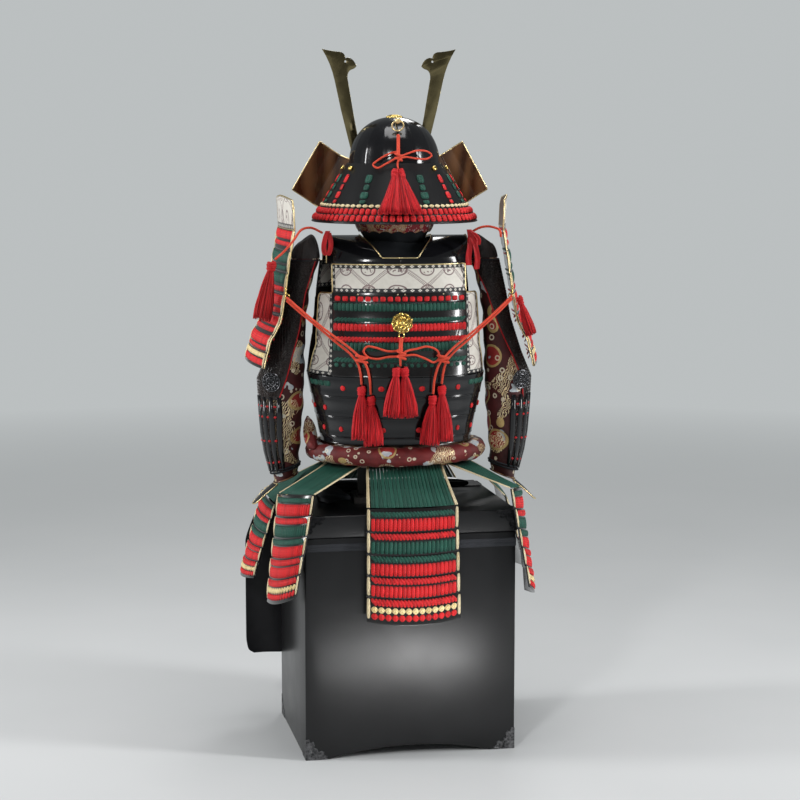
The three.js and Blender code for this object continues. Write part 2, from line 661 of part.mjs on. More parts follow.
// The ring at the back of the bowl on its stud.
function helmetRing() {
  return new THREE.TorusGeometry(13, 1.8, 6, 16).rotateX(THREE.MathUtils.degToRad(62)).translate(2, 98, 1419);
}

add(armour, 'helmet_bowl', bowl(), lacquer());
add(armour, 'neck_guard', neckGuard(), lacquer());
add(armour, 'helmet_brow', brow(), metal(GOLD));
add(armour, 'helmet_ring', helmetRing(), metal(GOLD));
for (const [mark, side] of [['L', 1], ['R', -1]]) {
  add(armour, `fukigaeshi_${mark}`, fukigaeshi(side), cloth(LEATHER));
  add(armour, `horn_${mark}`, horn(side), metal(BRASS));
}

// ---------------------------------------------------------------- thigh apron

// One panel of the apron: laid on the lid, folded over its front edge and hanging free below.
function apron(near, far, farOnLid) {
  const [lid, face] = [LID_TOP + 0.6, -LID.depth / 2 - 0.8];
  const thick = 5;
  // depth, height, share of the full width, and how far the free corner is rounded off
  const inner = [[-118, lid, 0], [-160, lid, 0], [face, lid, 0], [face, 500, 0.7], [face, 430, 1], [face, 300, 1],
    [face, 190, 1], [face, 162, 0.94], [face, 152, 0.8]];
  const skin = inner.map(([y, z], k) => {
    if (k < 2) return [y, z + thick];
    return k === 2 ? [y - thick, z + thick] : [y - thick, z];
  });
  const line = ([y, z], share) => Array.from({ length: 7 }, (_, j) => V(lerp(near, lerp(farOnLid, far, share), j / 6), y, z));
  return wall(skin.map((p, k) => line(p, inner[k][2])), inner.map((p) => line(p, p[2])));
}

// The apron's waist cloth, bunched on the lid behind the panels and round the stand's foot.
function apronWaist() {
  const route = [[-196, -84, 573, 14, 10], [-190, -84, 574, 20, 14], [-60, -88, 574, 20, 14], [80, -86, 574, 20, 14],
    [140, -62, 575, 20, 15], [166, -10, 578, 20, 18], [160, 42, 582, 22, 22], [138, 80, 584, 20, 24], [122, 98, 580, 9, 10]];
  const path = new THREE.CatmullRomCurve3(route.map(([x, y, z]) => V(x, y, z)));
  return loft(route.map(([x, y, z, half, rise], k) => {
    const along = path.getTangent(k / (route.length - 1));
    const sideways = V(along.y, -along.x, 0).normalize();
    return Array.from({ length: 12 }, (_, j) => {
      const t = (2 * Math.PI * j) / 12;
      return V(x, y, z).addScaledVector(sideways, half * Math.cos(t)).add(V(0, 0, rise * Math.sin(t)));
    });
  }));
}
add(group, 'apron_L', apron(44, 325, 236), cloth(BLACK_CLOTH));
add(group, 'apron_R', apron(36, -240, -236), cloth(BLACK_CLOTH));
add(group, 'apron_waist', apronWaist(), cloth(BLACK_CLOTH));

// ---------------------------------------------------------------- cords, ribbons and tassels

// Routes of the free cords, point by point, for the wearer's left; the right side mirrors them.
const STRAND = 5.5;
const SODE_CORD_1 = [[254, 124, 1039], [224, 139, 1013], [185, 154, 981], [146, 166, 951], [118, 174, 930],
  [98, 182, 912], [82, 184, 892], [73, 177, 860], [70, 169, 824]];
const SODE_CORD_2 = [[254, 124, 1032], [222, 138, 1004], [183, 152, 972], [145, 162, 940], [117, 168, 917],
  [100, 170, 896], [93, 169, 872], [90, 166, 846]];
const BOW_CORD = [[2, 178, 953], [4, 180, 940], [8, 182, 925], [32, 181, 922], [60, 177, 930], [78, 172, 932],
  [86, 173, 922], [78, 175, 910], [58, 180, 905], [30, 186, 910], [4, 189, 911], [-25, 187, 914],
  [-53, 184, 904], [-70, 180, 896], [-82, 177, 903], [-80, 173, 920], [-58, 177, 931], [-30, 185, 927],
  [-6, 192, 922], [6, 197, 911], [6, 194, 900], [5, 188, 890]];
const HELMET_CORD = [[2, 106, 1400], [3, 116, 1380], [4, 124, 1364], [22, 125, 1358], [44, 120, 1346], [59, 116, 1333],
  [50, 124, 1326], [30, 131, 1336], [8, 134, 1348], [-12, 132, 1356], [-38, 126, 1364], [-62, 118, 1362],
  [-72, 114, 1354], [-60, 122, 1346], [-34, 131, 1347], [-10, 139, 1350], [4, 142, 1344], [7, 143, 1334],
  [6, 144, 1324]];
const SODE_TIE = [[170, 62, 1180], [196, 82, 1192], [220, 108, 1188], [238, 128, 1166], [259, 130, 1142],
  [278, 114, 1124]];
const SHORT_TIE = [[-170, 62, 1180], [-186, 74, 1190], [-202, 90, 1194], [-216, 104, 1192], [-226, 121, 1186],
  [-228, 126, 1172]];

const flip = (route) => route.map(([x, y, z]) => [-x, y, z]);
add(armour, 'sode_cord_1_L', cord(SODE_CORD_1, STRAND, 20), cloth(ORANGE));
add(armour, 'sode_cord_1_R', cord(flip(SODE_CORD_1), STRAND, 20), cloth(ORANGE));
add(armour, 'sode_cord_2_L', cord(SODE_CORD_2, STRAND, 20), cloth(ORANGE));
add(armour, 'sode_cord_2_R', cord(flip(SODE_CORD_2), STRAND, 20), cloth(ORANGE));
add(armour, 'bow_cord', cord(BOW_CORD, 5, 46), cloth(ORANGE));
add(armour, 'helmet_cord', cord(HELMET_CORD, 4.5, 40), cloth(ORANGE));
add(armour, 'sode_tie_L', cord(SODE_TIE, STRAND, 12), cloth(ORANGE));
add(armour, 'sode_tie_R', cord(SHORT_TIE, STRAND, 9), cloth(ORANGE));

// The flat ribbons tied at the shoulders.
function ribbon(side, z0, z1) {
  const [x0, x1, y] = side > 0 ? [152, 178, 112] : [150, 178, 112];
  const row = (z, depth) => [x0, (x0 + x1) / 2, x1].map((x, j) => V(side * x, depth + (j === 1 ? 2.5 : 0), z));
  const rows = [z1, (z0 + z1) / 2, z0];
  return wall(rows.map((z) => row(z, y + 1.6)), rows.map((z) => row(z, y)));
}
add(armour, 'ribbon_L', ribbon(1, 1132, 1186), cloth(RED));
add(armour, 'ribbon_R', ribbon(-1, 1098, 1186), cloth(RED));

// The helmet's tassel lies fanned out on the neck guard.
function helmetTassel() {
  const rings = [[143, 1320, 11, 6], [145, 1314, 16, 8], [150, 1306, 15, 8], [176, 1270, 32, 10],
    [196, 1240, 47, 11], [205, 1226, 53, 11]];
  return loft(rings.map(([y, z, halfX, halfY]) => ellipse(V(6, y, z), halfX, halfY, 16)));
}

const pair = (a, b) => union(tassel(...a), tassel(...b));
add(armour, 'tassel_helmet', helmetTassel(), cloth(RED));
add(armour, 'tassel_bow', pair([V(-3, 188, 886), V(-14, 190, 774), 8, 20], [V(13, 188, 886), V(24, 190, 774), 8, 20]), cloth(RED));
add(armour, 'tassels_L', pair([V(90, 166, 842), V(92, 172, 722), 8, 21], [V(70, 168, 820), V(64, 174, 708), 8, 22]), cloth(RED));
add(armour, 'tassels_R', pair([V(-70, 168, 820), V(-62, 174, 708), 8, 22], [V(-90, 166, 842), V(-94, 172, 716), 8, 21]), cloth(RED));
add(armour, 'tassel_sode_L', tassel(V(285, 108, 1118), V(309, 92, 986), 9, 20), cloth(RED));
add(armour, 'tassel_sode_R', tassel(V(-270, 122, 1038), V(-300, 122, 950), 6, 12), cloth(RED));

export default group;
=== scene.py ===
"""Samurai armour set up on its storage chest: the visual model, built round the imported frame.

Points are worked out in millimetres in the CAD's own local frames and placed in metres by place().
The chest, belt, waist laces, tassets and apron are square to the frame; everything else stands
turned by TURN about the vertical axis.
"""
import math
import random

import bmesh
import bpy
import numpy as np
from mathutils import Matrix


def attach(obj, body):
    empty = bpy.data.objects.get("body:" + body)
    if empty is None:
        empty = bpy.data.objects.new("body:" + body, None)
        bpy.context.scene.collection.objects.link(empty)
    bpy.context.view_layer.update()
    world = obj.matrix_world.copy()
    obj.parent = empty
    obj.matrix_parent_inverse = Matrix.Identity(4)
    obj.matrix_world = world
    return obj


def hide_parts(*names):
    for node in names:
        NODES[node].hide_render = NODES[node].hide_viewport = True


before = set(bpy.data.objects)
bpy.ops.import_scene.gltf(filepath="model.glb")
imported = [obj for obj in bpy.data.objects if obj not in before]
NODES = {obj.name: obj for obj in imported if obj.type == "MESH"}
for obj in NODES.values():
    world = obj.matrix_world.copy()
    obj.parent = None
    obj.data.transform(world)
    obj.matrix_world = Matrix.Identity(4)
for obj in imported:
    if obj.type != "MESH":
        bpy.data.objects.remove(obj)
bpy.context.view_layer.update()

# ---------------------------------------------------------------- driving dimensions, millimetres

TURN = math.radians(-5.5)
SHIFT_Y = 1.0

CHEST = dict(x=242.0, y=195.0, top=508.0)
LID = dict(x=245.0, y=198.0, low=508.4, top=558.0)
BAND = dict(low=478.0, high=494.0)

TORSO_Y = 15.0
POWER = 2.3
TORSO = np.array([(704, 170, 126), (861, 199, 148), (950, 197, 151), (1050, 190, 142), (1112, 182, 124)], float)
LOWER_LAMES = [(860.6, 6), (813, 5), (766, 4), (720, 3), (704, 3)]
UPPER_LAMES = [(1049.6, 0), (1027, 1.5), (981, 3), (940, 4.5), (861.4, 4.5)]
ROW_HALF = 150.0

TASSET_LAMES = [0, 0.2, 0.4, 0.585, 0.77, 1]
TASSET_THICK = 3.0
TASSET_STEP = 2.0
TASSETS = {
    "back": dict(
        band=(-33, 33),
        top=[(-104, 208, 574), (0, 224, 574), (104, 208, 574)],
        low=[(-104, 214, 320), (0, 234, 312), (104, 214, 320)],
    ),
    "rear": dict(
        band=(37, 80),
        top=[(222, 219, 610), (262, 150, 600), (277, 38, 584)],
        low=[(258, 222, 382), (288, 150, 352), (296, 42, 334)],
    ),
    "side": dict(
        band=(85, 125),
        top=[(274, -32, 546), (284, -110, 550), (284, -188, 556)],
        low=[(318, -34, 372), (332, -112, 358), (330, -190, 350)],
    ),
    "front": dict(
        band=(130, 176),
        top=[(198, -216, 562), (106, -226, 566), (10, -216, 566)],
        low=[(202, -222, 322), (106, -236, 314), (10, -222, 320)],
    ),
}

SODE_LINE = np.array(
    [(1188, 233, 259), (1118, 243, 270), (1040, 252, 281), (980, 261, 292), (935, 284, 315), (876, 297, 330)], float
)
SODE_LAMES = [1188, 1140, 1092, 1044, 996, 950, 912, 876]
SODE_Y = (115.0, -115.0)

SLEEVE = np.array(
    [
        (1122, 205, 33, 38, 0), (1040, 226, 30, 42, 0), (980, 235, 32, 44, 0), (900, 250, 43, 50, 0),
        (845, 262, 54, 54, 0), (780, 262, 51, 50, 0), (700, 262, 44, 44, 0.1), (645, 256, 35, 38, 0.25),
        (613, 253, 28, 32, 0.4),
    ],
    float,
)
SLEEVE_Y = 8.0

BOWL = dict(x=104.0, y=118.0, base=1318.0, spring=1326.0, top=1440.0, power=2.2)
NECK = dict(top=1336.0, low=1204.0, x0=108.0, y0=122.0, x1=185.0, y1=192.0, spread=122.0)
NECK_LAMES = [0, 0.17, 0.34, 0.51, 0.68, 1]
NECK_STEP = 1.2

# ---------------------------------------------------------------- camera, placing and curves

camera = bpy.data.objects.new("camera", bpy.data.cameras.new("camera"))
bpy.context.scene.collection.objects.link(camera)
camera.location = (0.8911, 4.5179, 1.387)
camera.rotation_euler = (math.radians(90 - 7.40), 0, math.radians(168.68))
camera.data.lens = 90
camera.data.sensor_width = 36
camera.data.clip_end = 200
bpy.context.scene.camera = camera


def place(points, turned=True):
    """Local millimetres to metres in the row frame."""
    p = np.asarray(points, float).reshape(-1, 3).copy()
    if turned:
        c, s = math.cos(TURN), math.sin(TURN)
        p[:, 0], p[:, 1] = c * p[:, 0] - s * p[:, 1], s * p[:, 0] + c * p[:, 1]
    p[:, 1] += SHIFT_Y
    return p / 1000.0


def catmull(points, count):
    """Even-parameter points on the smooth curve through given ones, as the CAD's cords run."""
    p = np.asarray(points, float)
    p = np.vstack([2 * p[0] - p[1], p, 2 * p[-1] - p[-2]])
    knots = [0.0]
    for a, b in zip(p[:-1], p[1:]):
        knots.append(knots[-1] + math.sqrt(np.linalg.norm(b - a)))
    out = []
    for t in np.linspace(knots[1], knots[-2], count):
        k = min(max(int(np.searchsorted(knots, t, side="right")) - 1, 1), len(p) - 3)
        t0, t1, t2, t3 = knots[k - 1 : k + 3]
        p0, p1, p2, p3 = p[k - 1 : k + 3]
        a1 = (t1 - t) / (t1 - t0) * p0 + (t - t0) / (t1 - t0) * p1
        a2 = (t2 - t) / (t2 - t1) * p1 + (t - t1) / (t2 - t1) * p2
        a3 = (t3 - t) / (t3 - t2) * p2 + (t - t2) / (t3 - t2) * p3
        b1 = (t2 - t) / (t2 - t0) * a1 + (t - t0) / (t2 - t0) * a2
        b2 = (t3 - t) / (t3 - t1) * a2 + (t - t1) / (t3 - t1) * a3
        out.append((t2 - t) / (t2 - t1) * b1 + (t - t1) / (t2 - t1) * b2)
    return np.array(out)


# ---------------------------------------------------------------- mesh helpers


def deselect():
    bpy.ops.object.select_all(action="DESELECT")


def fresh(name):
    """The object that an operator has just added, named and settled at the origin."""
    obj = bpy.context.object
    obj.name = name
    obj.data.name = name
    bpy.ops.object.transform_apply(location=True, rotation=True, scale=True)
    return obj


def apply(obj, kind, **values):
    deselect()
    bpy.context.view_layer.objects.active = obj
    obj.select_set(True)
    modifier = obj.modifiers.new(kind.lower(), kind)
    for key, value in values.items():
        setattr(modifier, key, value)
    bpy.ops.object.modifier_apply(modifier=modifier.name)
    return obj


def smooth(obj, degrees=35):
    deselect()
    bpy.context.view_layer.objects.active = obj
    obj.select_set(True)
    bpy.ops.object.shade_smooth_by_angle(angle=math.radians(degrees))
    return obj


def outwards(obj):
    deselect()
    bpy.context.view_layer.objects.active = obj
    obj.select_set(True)
    bpy.ops.object.mode_set(mode="EDIT")
    bpy.ops.mesh.select_all(action="SELECT")
    bpy.ops.mesh.remove_doubles(threshold=1e-6)
    bpy.ops.mesh.normals_make_consistent(inside=False)
    bpy.ops.object.mode_set(mode="OBJECT")
    return obj


def dress(obj, material, *nodes, slot=None):
    """Gives a finished piece its material and body, and hides the CAD nodes it stands in for; slot is not used."""
    obj.data.materials.clear()
    obj.data.materials.append(material)
    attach(obj, "root")
    if nodes:
        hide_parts(*nodes)
    return obj


def sheet_grid(name, points, turned=True, closed=False):
    """A sheet from a grid of points: rows down, columns across. The grid primitive brings its own UV map."""
    points = np.asarray(points, float)
    rows, cols = points.shape[:2]
    deselect()
    bpy.ops.mesh.primitive_grid_add(x_subdivisions=cols - 1, y_subdivisions=rows - 1, size=1)
    obj = fresh(name)
    obj.data.vertices.foreach_set("co", place(points, turned).ravel())
    obj.data.update()
    if closed:
        deselect()
        obj.select_set(True)
        bpy.context.view_layer.objects.active = obj
        bpy.ops.object.mode_set(mode="EDIT")
        bpy.ops.mesh.select_all(action="SELECT")
        bpy.ops.mesh.remove_doubles(threshold=1e-5)
        bpy.ops.object.mode_set(mode="OBJECT")
    return obj


def facing(obj, centre):
    """Turns the sheet's faces over if they look towards the centre line, before it gets its wall."""
    mesh = obj.data
    total = 0.0
    for f in mesh.polygons:
        total += f.area * ((f.center.x - centre[0]) * f.normal.x + (f.center.y - centre[1]) * f.normal.y)
    if total < 0:
        mesh.flip_normals()
    return obj


def walled(obj, thick, centre=(0, 0), bevel=0.0, turn_over=True):
    """Gives a sheet its wall, inwards from the sheet, with a softened edge."""
    if turn_over:
        facing(obj, centre)
    apply(obj, "SOLIDIFY", thickness=thick / 1000, offset=-1, use_even_offset=False)
    if bevel:
        apply(obj, "BEVEL", width=bevel / 1000, segments=2, limit_method="ANGLE", angle_limit=math.radians(50))
    return obj


def from_cad(name, node, bevel, segments=2, dissolve=1.0, angle=30):
    """A copy of a CAD node's mesh, merged and cleaned, with its edges softened."""
    source = NODES[node]
    mesh = source.data.copy()
    obj = bpy.data.objects.new(name, mesh)
    bpy.context.scene.collection.objects.link(obj)
    mesh.name = name
    for key in list(obj.keys()):
        del obj[key]
    mesh.materials.clear()
    deselect()
    bpy.context.view_layer.objects.active = obj
    obj.select_set(True)
    bpy.ops.object.mode_set(mode="EDIT")
    bpy.ops.mesh.select_all(action="SELECT")
    bpy.ops.mesh.remove_doubles(threshold=1e-5)
    bpy.ops.mesh.dissolve_limited(angle_limit=math.radians(dissolve))
    bpy.ops.object.mode_set(mode="OBJECT")
    if bevel:
        apply(
            obj, "BEVEL", width=bevel / 1000, segments=segments, limit_method="ANGLE",
            angle_limit=math.radians(angle), miter_outer="MITER_ARC",
        )
    return smooth(obj, 40)


def template(name):
    """The current mesh as plain arrays (points, faces), for copying along a surface, and then removed."""
    obj = bpy.context.object
    mesh = obj.data
    points = np.array([v.co[:] for v in mesh.vertices])
    faces = [tuple(p.vertices) for p in mesh.polygons]
    bpy.data.objects.remove(obj)
    return points, faces


def joined(name, points, faces, uvs=None):
    """One mesh from stacked copies of a few shapes."""
    mesh = bpy.data.meshes.new(name)
    mesh.from_pydata([tuple(p) for p in points], [], faces)
    if uvs is not None:
        layer = mesh.uv_layers.new(name="UVMap")
        loops = np.array([v for f in faces for v in f])
        layer.data.foreach_set("uv", np.asarray(uvs, np.float32)[loops].ravel())
    mesh.update()
    obj = bpy.data.objects.new(name, mesh)
    bpy.context.scene.collection.objects.link(obj)
    for p in mesh.polygons:
        p.use_smooth = True
    return obj


# ---------------------------------------------------------------- surfaces


def torso_halves(z):
    return np.interp(z, TORSO[:, 0], TORSO[:, 1]), np.interp(z, TORSO[:, 0], TORSO[:, 2])


def torso_at(angle, z, offset=0.0):
    """A point round the body: angle 0 is the middle of the back, a quarter turn is +X."""
    a, b = torso_halves(z)
    s, c = np.sin(angle), np.cos(angle)
    p = 2 / POWER
    x = (a + offset) * np.sign(s) * np.abs(s) ** p
    y = TORSO_Y + (b + offset) * np.sign(c) * np.abs(c) ** p
    return np.stack([x, y, z + 0 * x], -1)


def torso_angle(z, x):
    a, _ = torso_halves(z)
    return np.arcsin(np.minimum(1, np.abs(x) / a) ** (POWER / 2)) * np.sign(x)


def torso_face(front=False):
    """The body's back or front as a surface of distance across and height."""
    side = -1 if front else 1

    def surface(x, z):
        a, b = torso_halves(z)
        return np.stack([x + 0 * z, TORSO_Y + side * b * (1 - (np.abs(x) / a) ** POWER) ** (1 / POWER), z + 0 * x], -1)

    return surface


def arc3(points, t):
    p, q, r = [np.array(v, float) for v in points]
    middle = 2 * q - (p + r) / 2
    t = np.asarray(t, float)[..., None]
    return p * (1 - t) ** 2 + middle * 2 * t * (1 - t) + r * t * t


def mirrored(points, side):
    return [(side * x, y, z) for x, y, z in points]


def tasset_face(spec, side):
    """A tasset's inner face as a surface of share across and share down."""
    top, low = mirrored(spec["top"], side), mirrored(spec["low"], side)

    def surface(u, v):
        v = np.asarray(v, float)[..., None]
        return arc3(top, u) * (1 - v) + arc3(low, u) * v

    return surface


def sode_face(side):
    """A shoulder guard's inner face as a surface of share from rear to front and height."""

    def surface(u, z):
        rear = np.interp(-z, -SODE_LINE[:, 0], SODE_LINE[:, 1])
        front = np.interp(-z, -SODE_LINE[:, 0], SODE_LINE[:, 2])
        x = rear + (front - rear) * u + 8 * 4 * u * (1 - u)
        return np.stack([side * x, SODE_Y[0] + (SODE_Y[1] - SODE_Y[0]) * u + 0 * x, z + 0 * x], -1)

    return surface


def neck_face(t, v):
    """The neck guard's outer cone: angle in degrees from the middle of the back, share down."""
    a = np.radians(t)
    x = (NECK["x0"] + (NECK["x1"] - NECK["x0"]) * v) * np.sin(a)
    y = (NECK["y0"] + (NECK["y1"] - NECK["y0"]) * v) * np.cos(a)
    return np.stack([x, y, NECK["top"] + (NECK["low"] - NECK["top"]) * v + 0 * x], -1)


def sleeve_at(side, angle, z, grow=0.0):
    """A point on a sleeve: angle 0 points outwards, a quarter turn points to the back."""
    zs = -SLEEVE[:, 0]
    x, hx, hy, tilt = [np.interp(-z, zs, SLEEVE[:, k]) for k in (1, 2, 3, 4)]
    across = (hx + grow) * np.cos(angle)
    return np.stack([side * (x + across), SLEEVE_Y + (hy + grow) * np.sin(angle), z - tilt * across], -1)


def normals(surface, u, v, du, dv, outside):
    """Unit normals of a surface, on the side that the point `outside` looks from."""
    across = surface(u + du, v) - surface(u - du, v)
    down = surface(u, v + dv) - surface(u, v - dv)
    n = np.cross(across, down)
    n /= np.maximum(np.linalg.norm(n, axis=-1, keepdims=True), 1e-9)
    here = surface(u, v)
    flat = here - np.array(outside, float)
    flip = np.sign(np.sum(n * flat, axis=-1, keepdims=True))
    return n * np.where(flip == 0, 1, flip)


class Skin:
    """A surface with an outward side and a step of offset down its lames."""

    def __init__(self, surface, du, dv, inside, offset=lambda v: 0.0, turned=True):
        self.surface, self.du, self.dv = surface, du, dv
        self.inside, self.offset, self.turned = inside, offset, turned

    def points(self, u, v, out=0.0):
        u, v = np.broadcast_arrays(np.asarray(u, float), np.asarray(v, float))
        n = normals(self.surface, u, v, self.du, self.dv, self.inside)
        return self.surface(u, v) + n * (np.asarray(out) + self.offset(v))[..., None]


def lame_offset(lames, base=0.0):
    """Offset at a height, from [(top height, offset), ...] going down."""
    tops = np.array([z for z, _ in lames])
    offs = np.array([o for _, o in lames], float)

    def offset(z):
        k = np.clip(np.searchsorted(-tops, -np.asarray(z, float), side="right") - 1, 0, len(tops) - 2)
        return base + offs[k]

    return offset


def skin_flip(skin, cells):
    """True where the template's across, up and out directions turn left-handed on this surface."""
    u, v = np.array([cells[0][0]]), np.array([cells[0][2]])
    across = skin.surface(u + skin.du, v) - skin.surface(u - skin.du, v)
    up = skin.surface(u, v - skin.dv) - skin.surface(u, v + skin.dv)
    n = normals(skin.surface, u, v, skin.du, skin.dv, skin.inside)
    return float(np.sum(np.cross(across, up) * n)) < 0


# ---------------------------------------------------------------- shader groups


class Nodes:
    """A node tree with short words for what goes into it."""

    def __init__(self, tree):
        self.tree = tree

    def add(self, kind, **values):
        node = self.tree.nodes.new("ShaderNode" + kind)
        for key, value in values.items():
            setattr(node, key, value)
        return node

    def feed(self, socket, value):
        if isinstance(value, bpy.types.NodeSocket):
            self.tree.links.new(value, socket)
        elif value is not None:
            socket.default_value = value

    def math(self, kind, a, b=None, c=None):
        node = self.add("Math", operation=kind)
        for socket, value in zip(node.inputs, (a, b, c)):
            self.feed(socket, value)
        return node.outputs[0]

    def mix(self, factor, a, b):
        node = self.add("Mix", data_type="RGBA")
        self.feed(node.inputs[0], factor)
        for socket, value in ((node.inputs[6], a), (node.inputs[7], b)):
            self.feed(socket, (*value, 1) if isinstance(value, tuple) and len(value) == 3 else value)
        return node.outputs[2]

    def ramp(self, value, low, high, a=0.0, b=1.0):
        node = self.add("MapRange")
        for socket, v in zip(node.inputs, (value, low, high, a, b)):
            self.feed(socket, v)
        return node.outputs[0]

    def coords(self, kind="Object", scale=(1, 1, 1), turn=(0, 0, 0)):
        source = self.add("TexCoord").outputs[kind]
        node = self.add("Mapping")
        self.feed(node.inputs["Vector"], source)
        node.inputs["Scale"].default_value = scale
        node.inputs["Rotation"].default_value = turn
        return node.outputs[0]

    def noise(self, scale, detail=3.0, rough=0.5, vector=None):
        node = self.add("TexNoise")
        self.feed(node.inputs["Vector"], vector or self.add("TexCoord").outputs["Object"])
        self.feed(node.inputs["Scale"], scale)
        node.inputs["Detail"].default_value = detail
        node.inputs["Roughness"].default_value = rough
        return node.outputs[0]

    def cells(self, scale, feature="F1", vector=None, out="Distance", jitter=1.0):
        node = self.add("TexVoronoi", feature=feature)
        self.feed(node.inputs["Vector"], vector or self.add("TexCoord").outputs["Object"])
        self.feed(node.inputs["Scale"], scale)
        node.inputs["Randomness"].default_value = jitter
        return node.outputs[out]

    def wave(self, scale, vector=None, distortion=0.0, direction="X"):
        node = self.add("TexWave", bands_direction=direction)
        self.feed(node.inputs["Vector"], vector or self.add("TexCoord").outputs["Object"])
        self.feed(node.inputs["Scale"], scale)
        node.inputs["Distortion"].default_value = distortion
        return node.outputs["Fac"]

    def split(self, vector):
        node = self.add("SeparateXYZ")
        self.feed(node.inputs[0], vector)
        return node.outputs[0], node.outputs[1], node.outputs[2]


def group(name, inputs, outputs, build):
    """A shared effect as a node group. inputs are (name, value); outputs are names of varying values."""
    tree = bpy.data.node_groups.new(name, "ShaderNodeTree")
    for label, value in inputs:
        socket = tree.interface.new_socket(name=label, in_out="INPUT", socket_type="NodeSocketFloat")
        socket.default_value = value
    for label in outputs:
        tree.interface.new_socket(name=label, in_out="OUTPUT", socket_type="NodeSocketFloat")
    n = Nodes(tree)
    start, end = tree.nodes.new("NodeGroupInput"), tree.nodes.new("NodeGroupOutput")
    for label, value in build(n, start.outputs).items():
        tree.links.new(value, end.inputs[label])
    return tree


def mottle(n, i):
    fine = n.noise(i["Scale"], 4.0, 0.6)
    broad = n.noise(n.math("MULTIPLY", i["Scale"], 0.13), 2.0)
    return {"Value": n.math("ADD", n.math("MULTIPLY", fine, 0.5), n.math("MULTIPLY", broad, 0.5))}


def braid(n, i):
    """Plaited silk along each lace's own UV: chevrons either side of a middle groove."""
    u, v, _ = n.split(n.add("TexCoord").outputs["UV"])
    across = n.math("ABSOLUTE", n.math("SUBTRACT", n.math("FRACT", u), 0.5))
    phase = n.math("ADD", n.math("MULTIPLY", v, i["Rows"]), n.math("MULTIPLY", across, i["Slant"]))
    ridge = n.math("ABSOLUTE", n.math("SINE", n.math("MULTIPLY", phase, math.pi)))
    groove = n.ramp(across, 0.0, 0.07)
    node = n.add("TexWhiteNoise", noise_dimensions="1D")
    n.feed(node.inputs["W"], n.math("FLOOR", u))
    # Height also sets the lace colour in silk(), where it paints shade into the grooves.
    return {"Height": n.math("MULTIPLY", ridge, groove), "Shade": node.outputs["Value"]}


def pebble(n, i):
    grain = n.cells(i["Scale"], "SMOOTH_F1")
    return {"Height": n.math("SUBTRACT", 1.0, grain), "Mask": n.ramp(grain, 0.15, 0.6)}


def cloth_weave(n, i):
    warp = n.math("SINE", n.math("MULTIPLY", n.split(n.coords())[0], i["Threads"]))
    x, y, z = n.split(n.coords())
    weft = n.math("SINE", n.math("MULTIPLY", n.math("ADD", z, n.math("MULTIPLY", y, 0.7)), i["Threads"]))
    return {"Height": n.math("MULTIPLY", warp, weft)}


def strands(n, i):
    """Each thread's own shade, from the whole part of its U, and a fine twist along it."""
    u, v, _ = n.split(n.add("TexCoord").outputs["UV"])
    node = n.add("TexWhiteNoise", noise_dimensions="1D")
    n.feed(node.inputs["W"], n.math("FLOOR", u))
    twist = n.math("SINE", n.math("ADD", n.math("MULTIPLY", v, i["Twist"]), n.math("MULTIPLY", u, 12.566)))
    return {"Shade": node.outputs["Value"], "Height": twist}


def print_lines(n, i):
    """Stencilled deerskin: a black border with white lozenges, crossing ladder bands and round flower marks."""
    u, v, _ = n.split(n.add("TexCoord").outputs["UV"])
    x, y = n.math("MULTIPLY", u, i["Width"]), n.math("MULTIPLY", v, i["Height"])
    side = n.math("MINIMUM", x, n.math("SUBTRACT", i["Width"], x))
    lid = n.math("SUBTRACT", i["Height"], y)
    foot = n.math("ADD", y, i["Open foot"])
    lid = n.math("MINIMUM", lid, foot)
    near = n.math("MINIMUM", side, lid)
    on_lid = n.math("LESS_THAN", lid, side)
    along = n.math("ADD", n.math("MULTIPLY", x, on_lid), n.math("MULTIPLY", y, n.math("SUBTRACT", 1.0, on_lid)))
    a = n.math("ABSOLUTE", n.math("SUBTRACT", n.math("FRACT", n.math("DIVIDE", along, i["Lozenge"])), 0.5))
    b = n.math("ABSOLUTE", n.math("SUBTRACT", n.math("DIVIDE", near, i["Border"]), 0.5))
    lozenge = n.math("GREATER_THAN", n.math("ADD", a, n.math("MULTIPLY", b, 0.8)), 0.3)
    dot = n.math("LESS_THAN", n.math("ADD", a, b), 0.1)
    band = n.math("LESS_THAN", near, i["Border"])
    ink = n.math("MULTIPLY", band, n.math("MAXIMUM", lozenge, dot))
    sx = n.math("ADD", x, n.math("MULTIPLY", y, 1.1))
    sy = n.math("SUBTRACT", x, n.math("MULTIPLY", y, 1.1))

    def ladder(p, q):
        centre = n.math("ABSOLUTE", n.math("SUBTRACT", n.math("FRACT", n.math("DIVIDE", p, 104.0)), 0.5))
        inside = n.math("LESS_THAN", centre, 0.055)
        edge = n.math("MULTIPLY", inside, n.math("GREATER_THAN", centre, 0.043))
        rung = n.math("GREATER_THAN", n.math("FRACT", n.math("DIVIDE", q, 5.0)), 0.66)
        return n.math("MAXIMUM", edge, n.math("MULTIPLY", inside, rung))

    cx = n.math("SUBTRACT", n.math("FRACT", n.math("DIVIDE", n.math("ADD", x, 26.0), 52.0)), 0.5)
    cy = n.math("SUBTRACT", n.math("FRACT", n.math("DIVIDE", n.math("ADD", y, 12.0), 47.0)), 0.5)
    r = n.math("SQRT", n.math("ADD", n.math("MULTIPLY", cx, cx), n.math("MULTIPLY", cy, cy)))
    ring = n.math("LESS_THAN", n.math("ABSOLUTE", n.math("SUBTRACT", r, 0.27)), 0.03)
    petal = n.math("GREATER_THAN", n.noise(170.0, 1.0), 0.56)
    flower = n.math("MULTIPLY", n.math("LESS_THAN", r, 0.2), petal)
    marks = n.math("MAXIMUM", ring, flower)
    rails = n.math("MAXIMUM", ladder(sx, sy), ladder(sy, sx))
    field = n.math("MULTIPLY", n.math("MAXIMUM", marks, rails), n.math("SUBTRACT", 1.0, band))
    return {"Border": ink, "Marks": field}


